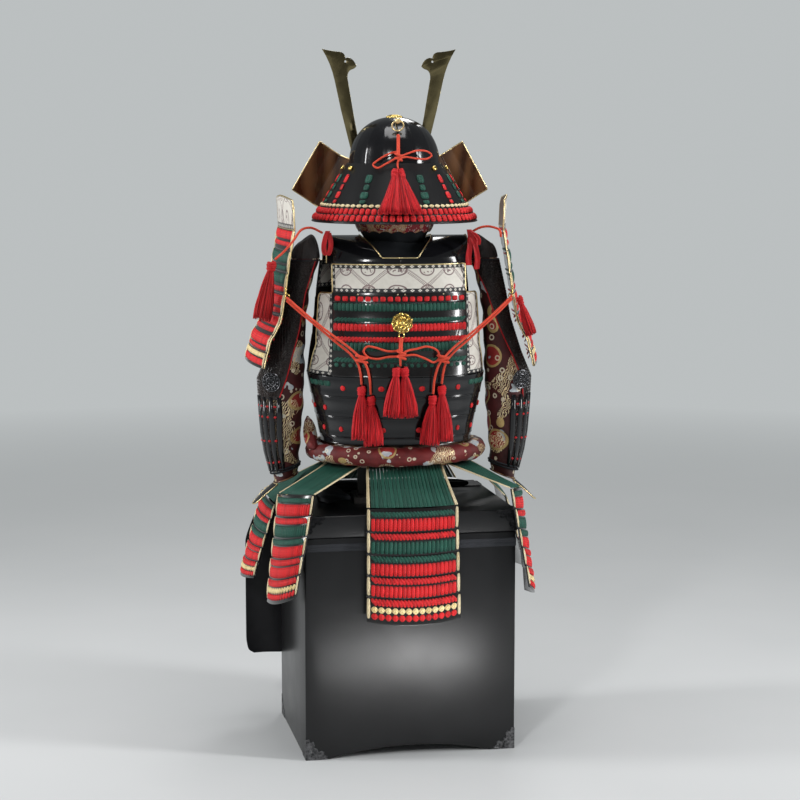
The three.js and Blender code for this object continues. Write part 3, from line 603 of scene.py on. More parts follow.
def brocade_pattern(n, i):
    """Woven silk: ringed medallions, feathered gold strokes, pale clouds and small cream rings."""
    spot = n.coords(scale=(1, 1, 1), turn=(0.4, 0.3, 0.2))
    far = n.cells(i["Scale"], vector=spot, jitter=0.85)
    medal = n.math("LESS_THAN", far, 0.3)
    hoop = n.math("LESS_THAN", n.math("ABSOLUTE", n.math("SUBTRACT", far, 0.33)), 0.035)
    dots = n.cells(n.math("MULTIPLY", i["Scale"], 2.7), vector=spot, jitter=0.7)
    rings = n.math("LESS_THAN", n.math("ABSOLUTE", n.math("SUBTRACT", dots, 0.2)), 0.05)
    plume = n.wave(n.math("MULTIPLY", i["Scale"], 5.2), spot, 14.0)
    zone = n.math("GREATER_THAN", n.noise(n.math("MULTIPLY", i["Scale"], 0.8), 1.0, vector=spot), 0.56)
    strokes = n.math("MULTIPLY", n.math("GREATER_THAN", plume, 0.62), zone)
    cloud = n.math("GREATER_THAN", n.noise(n.math("MULTIPLY", i["Scale"], 1.5), 2.0, vector=spot), 0.62)
    silk = n.math("SINE", n.math("MULTIPLY", n.split(spot)[2], 5200.0))
    return {"Medal": medal, "Hoop": hoop, "Rings": rings, "Strokes": strokes, "Cloud": cloud, "Weave": silk}


def grain_lines(n, i):
    lines = n.wave(i["Scale"], n.coords(scale=(1, 0.4, 0.22), turn=(0.2, 0.3, 0.5)), 7.0)
    figure = n.noise(n.math("MULTIPLY", i["Scale"], 0.8), 5.0, 0.65)
    return {"Value": n.math("ADD", n.math("MULTIPLY", lines, 0.35), n.math("MULTIPLY", figure, 0.65))}


def mail_links(n, i):
    far = n.cells(i["Scale"], jitter=0.35)
    link = n.math("ABSOLUTE", n.math("SUBTRACT", far, 0.32))
    return {"Height": n.ramp(link, 0.0, 0.18, 1.0, 0.0), "Shade": n.noise(60.0, 3.0)}


GROUPS = {
    "mottle": group("mottle", [("Scale", 60.0)], ["Value"], mottle),
    "braid": group("braid", [("Rows", 6.0), ("Slant", 2.0)], ["Height", "Shade"], braid),
    "pebble": group("pebble", [("Scale", 400.0)], ["Height", "Mask"], pebble),
    "weave": group("weave", [("Threads", 5000.0)], ["Height"], cloth_weave),
    "strands": group("strands", [("Twist", 40.0)], ["Shade", "Height"], strands),
    "print": group(
        "print",
        [("Width", 300.0), ("Height", 62.0), ("Border", 9.0), ("Lozenge", 14.0), ("Open foot", 0.0)],
        ["Border", "Marks"],
        print_lines,
    ),
    "brocade": group(
        "brocade",
        [("Scale", 26.0)],
        ["Medal", "Hoop", "Rings", "Strokes", "Cloud", "Weave"],
        brocade_pattern,
    ),
    "grain": group("grain", [("Scale", 30.0)], ["Value"], grain_lines),
    "mail": group("mail", [("Scale", 260.0)], ["Height", "Shade"], mail_links),
}


class Finish(Nodes):
    """A material: constants go straight on the shader, and varying values are wired to it."""

    def __init__(self, name, **constants):
        self.material = bpy.data.materials.new(name)
        self.material.use_nodes = True
        super().__init__(self.material.node_tree)
        self.shader = self.tree.nodes["Principled BSDF"]
        for key, value in constants.items():
            self.shader.inputs[key.replace("_", " ")].default_value = value

    def use(self, name, **inputs):
        node = self.tree.nodes.new("ShaderNodeGroup")
        node.node_tree = GROUPS[name]
        for key, value in inputs.items():
            node.inputs[key.replace("_", " ")].default_value = value
        return node.outputs

    def wire(self, **sockets):
        for key, value in sockets.items():
            self.feed(self.shader.inputs[key.replace("_", " ")], value)
        return self

    def bump(self, *layers):
        """layers are (height, strength, depth in millimetres)."""
        normal = None
        for height, strength, depth in layers:
            node = self.add("Bump")
            node.inputs["Strength"].default_value = strength
            node.inputs["Distance"].default_value = depth / 1000
            self.feed(node.inputs["Height"], height)
            if normal is not None:
                self.feed(node.inputs["Normal"], normal)
            normal = node.outputs[0]
        self.feed(self.shader.inputs["Normal"], normal)
        return self


def silk(name, dark, light, rows=6.0, slant=2.0, depth=0.5):
    """Plaited or twisted silk lacing."""
    f = Finish(name, Sheen_Weight=0.05, Sheen_Roughness=0.4, Specular_IOR_Level=0.3)
    b = f.use("braid", Rows=rows, Slant=slant)
    m = f.use("mottle", Scale=90.0)["Value"]
    # Base colour follows the braid's height: darker in the grooves and lighter on the ridges, a painted shade, with a
    # random tone per lace and mottle.
    tone = f.math("ADD", f.math("MULTIPLY", b["Height"], 0.62), f.math("MULTIPLY", b["Shade"], 0.28))
    tone = f.math("ADD", tone, f.math("MULTIPLY", m, 0.25))
    f.wire(Base_Color=f.mix(f.ramp(tone, 0.12, 0.95), dark, light), Roughness=f.ramp(m, 0.3, 0.7, 0.45, 0.62))
    f.bump((b["Height"], 0.8, depth), (f.noise(900.0, 2.0), 0.15, 0.2))
    return f.material


def lacquer(name, base, light, rough=(0.1, 0.22), coat=0.2, wave=0.12):
    """Polished lacquer: deep colour, faint unevenness and fine hairlines."""
    f = Finish(name, Coat_Weight=coat, Coat_Roughness=0.05, Specular_IOR_Level=0.42)
    m = f.use("mottle", Scale=26.0)["Value"]
    hair = f.noise(340.0, 4.0, 0.7)
    f.wire(Base_Color=f.mix(f.ramp(m, 0.35, 0.65), base, light), Roughness=f.ramp(hair, 0.3, 0.75, *rough))
    f.bump((m, wave, 1.2), (hair, 0.03, 0.15))
    return f.material


def metal(name, dark, light, rough=(0.18, 0.42), relief=None, depth=0.5, wave=0.05):
    f = Finish(name)
    m = f.use("mottle", Scale=70.0)["Value"]
    wear = f.noise(25.0, 5.0, 0.65)
    height = f.cells(relief, "SMOOTH_F1") if relief else m
    tone = f.math("ADD", f.math("MULTIPLY", wear, 0.6), f.math("MULTIPLY", height, 0.4))
    f.wire(
        Base_Color=f.mix(f.ramp(tone, 0.3, 0.65), dark, light),
        Roughness=f.ramp(m, 0.35, 0.65, *rough),
        Metallic=f.ramp(wear, 0.1, 0.35, 0.85, 1.0),
    )
    f.bump((height, 0.7 if relief else wave, depth), (f.noise(500.0, 3.0), 0.06, 0.2))
    return f.material


def leatherette():
    f = Finish("chest_leatherette", Specular_IOR_Level=0.42)
    p = f.use("pebble", Scale=520.0)
    m = f.use("mottle", Scale=14.0)["Value"]
    f.wire(
        Base_Color=f.mix(f.ramp(m, 0.35, 0.7), (0.0035, 0.0035, 0.004), (0.007, 0.007, 0.008)),
        Roughness=f.ramp(m, 0.3, 0.7, 0.27, 0.36),
    )
    f.bump((p["Height"], 0.22, 0.35), (m, 0.08, 1.0))
    return f.material


def printed(name, width, height, border, lozenge=14.0, foot=0.0):
    f = Finish(name, Sheen_Weight=0.15, Specular_IOR_Level=0.35)
    p = f.use("print", Width=width, Height=height, Border=border, Lozenge=lozenge, Open_foot=foot)
    m = f.use("mottle", Scale=120.0)["Value"]
    skin = f.mix(f.ramp(m, 0.3, 0.7), (0.60, 0.565, 0.50), (0.72, 0.69, 0.63))
    faded = f.mix(f.noise(60.0), (0.07, 0.055, 0.06), (0.24, 0.13, 0.13))
    marked = f.mix(f.math("MULTIPLY", p["Marks"], 0.9), skin, faded)
    f.wire(Base_Color=f.mix(p["Border"], marked, (0.02, 0.02, 0.022)), Roughness=f.ramp(m, 0.3, 0.7, 0.5, 0.68))
    f.bump((f.use("pebble", Scale=900.0)["Height"], 0.18, 0.2), (p["Border"], 0.15, 0.15))
    return f.material


def brocade(name, scale=26.0, ground=((0.045, 0.006, 0.006), (0.12, 0.014, 0.014))):
    f = Finish(name, Sheen_Weight=0.05, Sheen_Roughness=0.35, Specular_IOR_Level=0.35)
    p = f.use("brocade", Scale=scale)
    m = f.use("mottle", Scale=60.0)["Value"]
    tone = f.mix(f.ramp(m, 0.35, 0.65), *ground)
    tone = f.mix(f.math("MULTIPLY", p["Medal"], 0.8), tone, (0.3, 0.022, 0.02))
    tone = f.mix(f.math("MULTIPLY", p["Cloud"], 0.85), tone, f.mix(f.noise(70.0), (0.1, 0.2, 0.3), (0.75, 0.75, 0.7)))
    tone = f.mix(f.math("MULTIPLY", p["Strokes"], 0.95), tone, f.mix(f.noise(90.0), (0.55, 0.36, 0.12), (0.85, 0.78, 0.55)))
    tone = f.mix(f.math("MULTIPLY", p["Rings"], 0.7), tone, (0.7, 0.62, 0.46))
    tone = f.mix(f.math("MULTIPLY", p["Hoop"], 0.8), tone, (0.5, 0.36, 0.14))
    gold = f.math("MAXIMUM", p["Strokes"], p["Hoop"])
    f.wire(Base_Color=tone, Roughness=f.ramp(gold, 0.0, 1.0, 0.6, 0.38), Metallic=f.math("MULTIPLY", gold, 0.35))
    f.bump((gold, 0.4, 0.5), (p["Weave"], 0.25, 0.15), (f.noise(300.0), 0.2, 0.4))
    return f.material


def cloth(name, dark, light, threads=5000.0, rough=(0.7, 0.9), sheen=0.2, wrinkle=0.3):
    f = Finish(name, Sheen_Weight=sheen * 0.2, Sheen_Roughness=0.5, Specular_IOR_Level=0.22)
    m = f.use("mottle", Scale=40.0)["Value"]
    h = f.use("weave", Threads=threads)["Height"]
    f.wire(Base_Color=f.mix(f.ramp(m, 0.3, 0.7), dark, light), Roughness=f.ramp(m, 0.3, 0.7, *rough))
    f.bump((h, 0.35, 0.2), (m, wrinkle, 2.0))
    return f.material


def threads(name, dark, light, twist=46.0):
    f = Finish(name, Sheen_Weight=0.05, Sheen_Roughness=0.35, Specular_IOR_Level=0.28)
    s = f.use("strands", Twist=twist)
    m = f.use("mottle", Scale=50.0)["Value"]
    tone = f.math("ADD", f.math("MULTIPLY", s["Shade"], 0.55), f.math("MULTIPLY", m, 0.45))
    f.wire(Base_Color=f.mix(f.ramp(tone, 0.15, 0.8), dark, light), Roughness=f.ramp(m, 0.3, 0.7, 0.5, 0.68))
    f.bump((s["Height"], 0.35, 0.25))
    return f.material


def rope(name, dark, light):
    """A plied silk cord: the ply is in the mesh, and the yarn runs across it."""
    f = Finish(name, Sheen_Weight=0.06, Sheen_Roughness=0.4, Specular_IOR_Level=0.3)
    u, v, _ = f.split(f.add("TexCoord").outputs["UV"])
    yarn = f.math("SINE", f.math("ADD", f.math("MULTIPLY", u, 75.4), f.math("MULTIPLY", v, -1.9)))
    m = f.use("mottle", Scale=80.0)["Value"]
    # Colour follows the yarn ridges: lighter on the crests and darker in the grooves, a painted shade, mixed with
    # mottle.
    tone = f.math("ADD", f.math("MULTIPLY", f.ramp(yarn, -1, 1), 0.4), f.math("MULTIPLY", m, 0.6))
    f.wire(Base_Color=f.mix(f.ramp(tone, 0.2, 0.75), dark, light), Roughness=f.ramp(m, 0.3, 0.7, 0.5, 0.66))
    f.bump((yarn, 0.5, 0.25))
    return f.material


def figured_wood(name, dark, light, rough=(0.28, 0.45), scale=30.0):
    f = Finish(name, Coat_Weight=0.3, Coat_Roughness=0.2)
    g = f.use("grain", Scale=scale)["Value"]
    f.wire(Base_Color=f.mix(f.ramp(g, 0.3, 0.68), dark, light), Roughness=f.ramp(g, 0.3, 0.7, *rough))
    f.bump((g, 0.12, 0.4), (f.noise(500.0), 0.05, 0.2))
    return f.material


def mail():
    f = Finish("sleeve_mail", Specular_IOR_Level=0.6)
    g = f.use("mail", Scale=330.0)
    f.wire(
        Base_Color=f.mix(f.math("MULTIPLY", g["Height"], g["Shade"]), (0.008, 0.005, 0.0045), (0.06, 0.035, 0.028)),
        Roughness=f.ramp(g["Height"], 0.0, 1.0, 0.6, 0.25),
        Metallic=f.math("MULTIPLY", g["Height"], 0.5),
    )
    f.bump((g["Height"], 0.9, 1.2))
    return f.material


M = {
    "leatherette": leatherette(),
    "black": lacquer("black_lacquer", (0.004, 0.004, 0.005), (0.0075, 0.0075, 0.009)),
    "black_plate": lacquer("black_lame_lacquer", (0.0045, 0.004, 0.004), (0.009, 0.008, 0.008), (0.14, 0.3), 0.4),
    "guard": lacquer("neck_guard_lacquer", (0.004, 0.004, 0.0045), (0.007, 0.007, 0.008), (0.3, 0.42), 0.0, 0.06),
    "red": silk("red_lacing", (0.24, 0.004, 0.006), (0.84, 0.020, 0.024), 5.0, 2.0),
    "red_twist": silk("red_twisted_lacing", (0.22, 0.004, 0.006), (0.80, 0.020, 0.024), 2.0, 5.0),
    "green": silk("green_lacing", (0.003, 0.022, 0.016), (0.016, 0.105, 0.072), 5.0, 2.0),
    "green_long": silk("green_hanging_lacing", (0.003, 0.022, 0.016), (0.016, 0.105, 0.072), 40.0, 2.0),
    "cream": silk("cream_edge_braid", (0.36, 0.25, 0.1), (0.85, 0.74, 0.5), 4.0, 3.0),
    "cream_long": silk("cream_hanging_braid", (0.36, 0.25, 0.1), (0.85, 0.74, 0.5), 44.0, 3.0),
    "yellow": silk("yellow_lacing", (0.5, 0.33, 0.1), (0.92, 0.78, 0.42), 2.0, 3.0),
    "gilt": metal("gilt_rim", (0.72, 0.52, 0.22), (0.95, 0.80, 0.46), (0.3, 0.42)),
    "gilt_cast": metal("gilt_casting", (0.38, 0.24, 0.05), (0.98, 0.76, 0.26), (0.16, 0.32), 520.0, 0.5),
    "brass": metal("aged_brass", (0.16, 0.13, 0.065), (0.27, 0.225, 0.115), (0.14, 0.22), wave=0.01),
    "pewter": metal("embossed_pewter", (0.02, 0.02, 0.021), (0.16, 0.16, 0.165), (0.3, 0.5), 190.0, 0.8),
    "gunmetal": metal("embossed_gunmetal", (0.006, 0.006, 0.0065), (0.035, 0.035, 0.037), (0.3, 0.5), 190.0, 0.8),
    "panel_print": printed("back_panel_leather", 300.0, 62.0, 9.0),
    "wing_print": printed("wing_leather", 64.0, 186.0, 9.0, 13.0),
    "plate_print": printed("shoulder_plate_leather", 230.0, 70.0, 7.0),
    "turn_print": printed("turnback_leather", 90.0, 120.0, 7.0),
    "brocade": brocade("maroon_brocade", 13.5, ((0.022, 0.003, 0.003), (0.065, 0.007, 0.007))),
    "belt_brocade": brocade("belt_brocade", 17.0, ((0.06, 0.005, 0.005), (0.15, 0.010, 0.010))),
    "scallop": brocade("scalloped_brocade", 60.0, ((0.14, 0.01, 0.014), (0.3, 0.02, 0.03))),
    "black_cloth": cloth("black_cotton", (0.006, 0.007, 0.009), (0.016, 0.019, 0.023), 4200.0),
    "tie_cloth": cloth("black_tie_cloth", (0.016, 0.017, 0.02), (0.034, 0.036, 0.042), 3600.0),
    "gloss_cloth": cloth("black_glazed_cloth", (0.005, 0.005, 0.006), (0.012, 0.012, 0.014), 3200.0, (0.32, 0.5), 0.05, 0.5),
    "cord": rope("orange_red_cord", (0.36, 0.022, 0.010), (0.92, 0.10, 0.045)),
    "tassel": threads("red_tassel_threads", (0.22, 0.003, 0.006), (0.82, 0.018, 0.026)),
    "dark_tassel": threads("dark_red_tassel_threads", (0.2, 0.003, 0.004), (0.6, 0.014, 0.016)),
    "ribbon": cloth("red_silk_ribbon", (0.26, 0.003, 0.005), (0.58, 0.010, 0.014), 6000.0, (0.4, 0.55), 0.3, 0.5),
    "stand": figured_wood("black_stand_wood", (0.008, 0.007, 0.0065), (0.022, 0.018, 0.015), (0.4, 0.6)),
    "wood": figured_wood("brown_figured_leather", (0.05, 0.018, 0.006), (0.175, 0.075, 0.026), (0.25, 0.4), 9.0),
    "mail": mail(),
    "studs": metal("blackened_studs", (0.045, 0.045, 0.05), (0.16, 0.16, 0.17), (0.1, 0.2)),
}

# ---------------------------------------------------------------- floor, backdrop and lights

deselect()
bpy.ops.mesh.primitive_circle_add(vertices=96, radius=40, fill_type="NGON")
floor = fresh("floor")
backdrop_grey = (0.50, 0.525, 0.53)
f = Finish("pale_floor", Specular_IOR_Level=0.0)
x, y, _ = f.split(f.add("TexCoord").outputs["Object"])
far = f.math("SQRT", f.math("ADD", f.math("MULTIPLY", x, x), f.math("MULTIPLY", y, y)))
haze = f.ramp(far, 1.2, 6.0)
near = f.mix(f.noise(2.0, 3.0), (0.56, 0.575, 0.58), (0.61, 0.62, 0.625))
f.wire(Base_Color=f.mix(haze, near, (0.0, 0.0, 0.0)), Roughness=f.ramp(f.noise(9.0), 0.3, 0.7, 0.4, 0.55))
f.wire(Emission_Color=f.mix(haze, (0.0, 0.0, 0.0), backdrop_grey))
f.shader.inputs["Emission Strength"].default_value = 1.0
floor.data.materials.append(f.material)

world = bpy.data.worlds.new("studio")
bpy.context.scene.world = world
world.use_nodes = True
sky = world.node_tree.nodes["Background"]
sky.inputs["Color"].default_value = (*backdrop_grey, 1)
ray = world.node_tree.nodes.new("ShaderNodeLightPath")
level = world.node_tree.nodes.new("ShaderNodeMapRange")
level.inputs["To Min"].default_value = 0.3
level.inputs["To Max"].default_value = 1.0
world.node_tree.links.new(ray.outputs["Is Camera Ray"], level.inputs["Value"])
world.node_tree.links.new(level.outputs["Result"], sky.inputs["Strength"])


def softbox(name, place_m, target, size, power):
    """A rectangular lamp that looks at a point."""
    data = bpy.data.lights.new(name, "AREA")
    data.shape = "RECTANGLE"
    data.size, data.size_y = size
    data.energy = power
    lamp = bpy.data.objects.new(name, data)
    bpy.context.scene.collection.objects.link(lamp)
    lamp.location = place_m
    aim = np.array(target, float) - np.array(place_m, float)
    flat = math.hypot(aim[0], aim[1])
    lamp.rotation_euler = (math.atan2(flat, -aim[2]), 0, math.atan2(aim[1], aim[0]) - math.pi / 2)
    return lamp


softbox("key_light", (-3.1, 1.7, 1.9), (0, 0, 1.0), (0.5, 2.2), 96)
softbox("side_light", (3.2, -0.3, 1.8), (0, 0, 1.0), (0.5, 2.0), 70)
softbox("fill_light", (2.2, 4.0, 3.1), (0, 0, 0.9), (0.45, 1.1), 72)
softbox("front_light", (-1.2, -3.0, 3.4), (0, 0, 0.9), (1.2, 1.2), 34)
softbox("top_light", (0.0, 0.15, 3.5), (0, 0, 0.6), (1.5, 1.5), 34)
softbox("floor_glow", (-0.16, 0.9, 0.02), (-0.06, 0.25, 0.26), (0.5, 0.05), 0.5).data.spread = math.radians(60)

# ---------------------------------------------------------------- small shapes that repeat


def shaped(kind, cuts, shape):
    """A cube cut up and shaped point by point: x across, y up, z out of the surface."""
    deselect()
    bpy.ops.mesh.primitive_cube_add(size=1)
    bpy.ops.object.mode_set(mode="EDIT")
    bpy.ops.mesh.select_all(action="SELECT")
    bpy.ops.mesh.subdivide(number_cuts=cuts)
    bpy.ops.object.mode_set(mode="OBJECT")
    obj = bpy.context.object
    for vertex in obj.data.vertices:
        vertex.co = shape(*vertex.co)
    return template(kind)


def pillow(slant=0.0, square=0.35, height=1.0, waist=0.0):
    """A soft-edged block: 1 across, 1 up, `height` proud."""

    def shape(x, y, z):
        across = 1 - (1 - square) * (2 * abs(x)) ** 2.2 if abs(x) > 0.4 else 1.0
        along = 1 - (1 - square) * (2 * abs(y)) ** 2.2 if abs(y) > 0.4 else 1.0
        crown = height * (0.55 + 0.45 * (1 - (2 * x) ** 2)) if z > 0.4 else height * 0.25 * (z + 0.5)
        if z > 0.4 and (abs(x) > 0.4 or abs(y) > 0.4):
            crown *= 0.45
        pinch = 1 - 0.06 * (abs(y) > 0.4) * (square < 1) - waist * (abs(y) < 0.2)
        return (x * pinch * (1 if abs(y) < 0.4 else 0.55 + 0.45 * along) + slant * y, y * (0.6 + 0.4 * across), crown)

    return shape


LACE = shaped("lace", 2, pillow(square=0.75))
TWIST = shaped("twist", 2, pillow(slant=0.75, square=0.4))
BEAD = shaped("bead", 2, pillow(square=0.3, height=1.0))


def disc_shape(sides, rings):
    """A domed stud, closed underneath."""
    deselect()
    bpy.ops.mesh.primitive_circle_add(vertices=sides, radius=0.5, fill_type="NGON")
    bpy.ops.object.mode_set(mode="EDIT")
    bpy.ops.mesh.select_all(action="SELECT")
    bpy.ops.mesh.extrude_region_move(TRANSFORM_OT_translate={"value": (0, 0, 1)})
    bpy.ops.mesh.inset(thickness=0.12)
    bpy.ops.transform.translate(value=(0, 0, 0.6))
    bpy.ops.mesh.inset(thickness=0.16)
    bpy.ops.transform.translate(value=(0, 0, 0.25))
    bpy.ops.object.mode_set(mode="OBJECT")
    return template("stud")


STUD = disc_shape(10, 2)


def lay(name, skin, shape, cells, material, *nodes, slot=None, lift=0.0):
    """Copies of a small shape over a skin, as one dressed piece."""
    pts, faces = shape
    cells = np.asarray(cells, float)
    u = cells[:, 0, None] + pts[None, :, 0] * cells[:, 1, None]
    v = cells[:, 2, None] - pts[None, :, 1] * cells[:, 3, None]
    middle = np.broadcast_to(cells[:, 2, None], v.shape)
    n = normals(skin.surface, u, v, skin.du, skin.dv, skin.inside)
    out = pts[None, :, 2] * cells[:, 4, None] + lift + skin.offset(middle)
    world = skin.surface(u, v) + n * out[..., None]
    flip = skin_flip(skin, cells)
    copies = [tuple(k * len(pts) + c for c in (f[::-1] if flip else f)) for k in range(len(cells)) for f in faces]
    uv = np.stack([(pts[None, :, 0] + 0.5) * 0.98 + 0.01 + np.arange(len(cells))[:, None], pts[None, :, 1] + 0.5 + 0 * u], -1)
    obj = joined(name, place(world, skin.turned), copies, uv.reshape(-1, 2))
    return dress(obj, material, *nodes, slot=slot)


def row(count, low, high, v, height, out, fill=0.9):
    """One row of evenly pitched cells from `low` to `high` across."""
    pitch = (high - low) / count
    return [(low + (k + 0.5) * pitch, pitch * fill, v, height, out) for k in range(count)]


def tube(name, path, radius, material, sides=8, lobes=0, pitch=12.0, turned=True, closed=False, squash=1.0, slot=None):
    """A tube along a path in local millimetres. A cord has `lobes` plies that wind once in each `pitch`."""
    p = np.asarray(path, float)
    count = len(p)
    tangent = np.gradient(p, axis=0)
    if closed:
        tangent = np.roll(p, -1, 0) - np.roll(p, 1, 0)
    tangent /= np.maximum(np.linalg.norm(tangent, axis=1, keepdims=True), 1e-9)
    ref = np.array([0, 0, 1.0]) if abs(tangent[0][2]) < 0.9 else np.array([1.0, 0, 0])
    side = np.cross(tangent[0], ref)
    side /= np.linalg.norm(side)
    run = np.concatenate([[0], np.cumsum(np.linalg.norm(np.diff(p, axis=0), axis=1))])
    angles = 2 * np.pi * np.arange(sides) / sides
    points, uvs = [], []
    for k in range(count):
        side = side - tangent[k] * np.dot(side, tangent[k])
        side /= np.linalg.norm(side)
        other = np.cross(tangent[k], side)
        r = np.full(sides, radius if np.isscalar(radius) else radius[k])
        if lobes:
            r = r * (0.9 + 0.12 * np.abs(np.cos(lobes / 2 * (angles + 2 * np.pi * run[k] / pitch))))
        points.append(p[k] + np.outer(r * np.cos(angles), side) + np.outer(squash * r * np.sin(angles), other))
        uvs.append(np.stack([angles / (2 * np.pi), np.full(sides, run[k])], -1))
    points = np.concatenate(points)
    uvs = np.concatenate(uvs)
    faces = []
    for k in range(count if closed else count - 1):
        a, b = k * sides, ((k + 1) % count) * sides
        for j in range(sides):
            i = (j + 1) % sides
            faces.append((a + j, a + i, b + i, b + j))
    if not closed:
        faces.append(tuple(range(sides))[::-1])
        faces.append(tuple((count - 1) * sides + j for j in range(sides)))
    obj = joined(name, place(points, turned), faces, uvs)
    if slot is not False:
        dress(obj, material, slot=slot)
    return obj


def merged(name, objects, material, *nodes, slot=None):
    """Several finished meshes joined into one piece."""
    deselect()
    for obj in objects:
        obj.select_set(True)
    bpy.context.view_layer.objects.active = objects[0]
    bpy.ops.object.join()
    obj = bpy.context.view_layer.objects.active
    obj.name = name
    obj.data.name = name
    return dress(obj, material, *nodes, slot=slot)


# ---------------------------------------------------------------- cords

STRAND = 5.5
SODE_CORD_1 = [
    (254, 124, 1039), (224, 139, 1013), (185, 154, 981), (146, 166, 951), (118, 174, 930),
    (98, 182, 912), (82, 184, 892), (73, 177, 860), (70, 169, 824),
]
SODE_CORD_2 = [
    (254, 124, 1032), (222, 138, 1004), (183, 152, 972), (145, 162, 940), (117, 168, 917),
    (100, 170, 896), (93, 169, 872), (90, 166, 846),
]
BOW_CORD = [
    (2, 178, 953), (4, 180, 940), (8, 182, 925), (32, 181, 922), (60, 177, 930), (78, 172, 932),
    (86, 173, 922), (78, 175, 910), (58, 180, 905), (30, 186, 910), (4, 189, 911), (-25, 187, 914),
    (-53, 184, 904), (-70, 180, 896), (-82, 177, 903), (-80, 173, 920), (-58, 177, 931), (-30, 185, 927),
    (-6, 192, 922), (6, 197, 911), (6, 194, 900), (5, 188, 890),
]
HELMET_CORD = [
    (2, 106, 1400), (3, 116, 1380), (4, 124, 1364), (22, 125, 1358), (44, 120, 1346), (59, 116, 1333),
    (50, 124, 1326), (30, 131, 1336), (8, 134, 1348), (-12, 132, 1356), (-38, 126, 1364), (-62, 118, 1362),
    (-72, 114, 1354), (-60, 122, 1346), (-34, 131, 1347), (-10, 139, 1350), (4, 142, 1344), (7, 143, 1334),
    (6, 144, 1324),
]
SODE_TIE = [(170, 62, 1180), (196, 82, 1192), (220, 108, 1188), (238, 128, 1166), (259, 130, 1142), (278, 114, 1124)]
SHORT_TIE = [
    (-170, 62, 1180), (-186, 74, 1190), (-202, 90, 1194), (-216, 104, 1192), (-226, 121, 1186), (-228, 126, 1172),
]


def flipped(route):
    return [(-x, y, z) for x, y, z in route]


def silk_cord(name, node, route, diameter):
    """A free cord along its CAD route, both ends taken up by the armour or a tassel."""
    rough_length = float(np.sum(np.linalg.norm(np.diff(catmull(route, 200), axis=0), axis=1)))
    path = catmull(route, int(rough_length / 1.8))
    obj = tube(name, path, diameter / 2, M["cord"], 12, 3, 11.0, slot="orange_cord")
    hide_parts(node)
    metres = place(path)
    tuple(metres[0])
    [tuple(q) for q in metres]
    return obj


silk_cord("rear_cord_upper_L", "sode_cord_1_L", SODE_CORD_1, STRAND)
silk_cord("rear_cord_upper_R", "sode_cord_1_R", flipped(SODE_CORD_1), STRAND)
silk_cord("rear_cord_lower_L", "sode_cord_2_L", SODE_CORD_2, STRAND)
silk_cord("rear_cord_lower_R", "sode_cord_2_R", flipped(SODE_CORD_2), STRAND)
silk_cord("back_bow", "bow_cord", BOW_CORD, 5.0)
silk_cord("helmet_bow", "helmet_cord", HELMET_CORD, 4.5)
silk_cord("guard_tie_L", "sode_tie_L", SODE_TIE, STRAND)
silk_cord("guard_tie_R", "sode_tie_R", SHORT_TIE, STRAND)


def cord_knots():
    """The wound knots where the cords cross, and the plaited drops from the ring and the boss."""
    turn = np.linspace(0, 2 * np.pi, 25)[:-1]
    parts = []
    for tag, (x, y, z), across, deep, thick, count in (
        ("L", (91, 178, 905), 12, 8.5, 2.9, 3), ("R", (-92, 177, 903), 12, 8.5, 2.9, 3),
        ("back", (3, 191, 914), 8, 6, 3.2, 3), ("helmet", (4, 136, 1350), 7, 5, 2.6, 3),
    ):
        for k in range(count):
            lean = (-1) ** k * 3.0
            ring = np.stack([x + across * np.cos(turn), y + deep * np.sin(turn), z + (k - 1) * 2 * thick * 0.85 + lean * np.cos(turn)], -1)
            parts.append(tube(f"knot_turn_{tag}_{k}", ring, thick, None, 10, 3, 11.0, closed=True, slot=False))
    parts.append(tube("plait_back", catmull([(2, 181, 950), (4, 184, 934), (4, 190, 918)], 34), 4.6, None, 14, 4, 9.0, slot=False))
    parts.append(tube("plait_helmet", catmull([(2, 109, 1398), (3, 119, 1378), (4, 131, 1354)], 40), 3.9, None, 14, 4, 8.0, slot=False))
    merged("cord_knots", parts, M["cord"], slot="orange_cord")


cord_knots()

# ---------------------------------------------------------------- tassels


def knot_mesh(name, centre, axis, r, length):
    """A cord knot: turns of cord wound tight round a core."""
    axis = np.array(axis, float) / np.linalg.norm(axis)
    ref = np.array([1.0, 0, 0]) if abs(axis[0]) < 0.9 else np.array([0, 1.0, 0])
    a = np.cross(axis, ref)
    a /= np.linalg.norm(a)
    b = np.cross(axis, a)
    t = np.linspace(0, 1, 46)
    turn = 2 * np.pi * 3.2 * t
    rad = r * (0.72 + 0.28 * np.sin(np.pi * t))
    path = np.array(centre) + np.outer((t - 0.5) * length, axis) + np.outer(rad * np.cos(turn), a) + np.outer(
        rad * np.sin(turn), b
    )
    return tube(name, path, r * 0.42, None, 6, 0, slot=False)


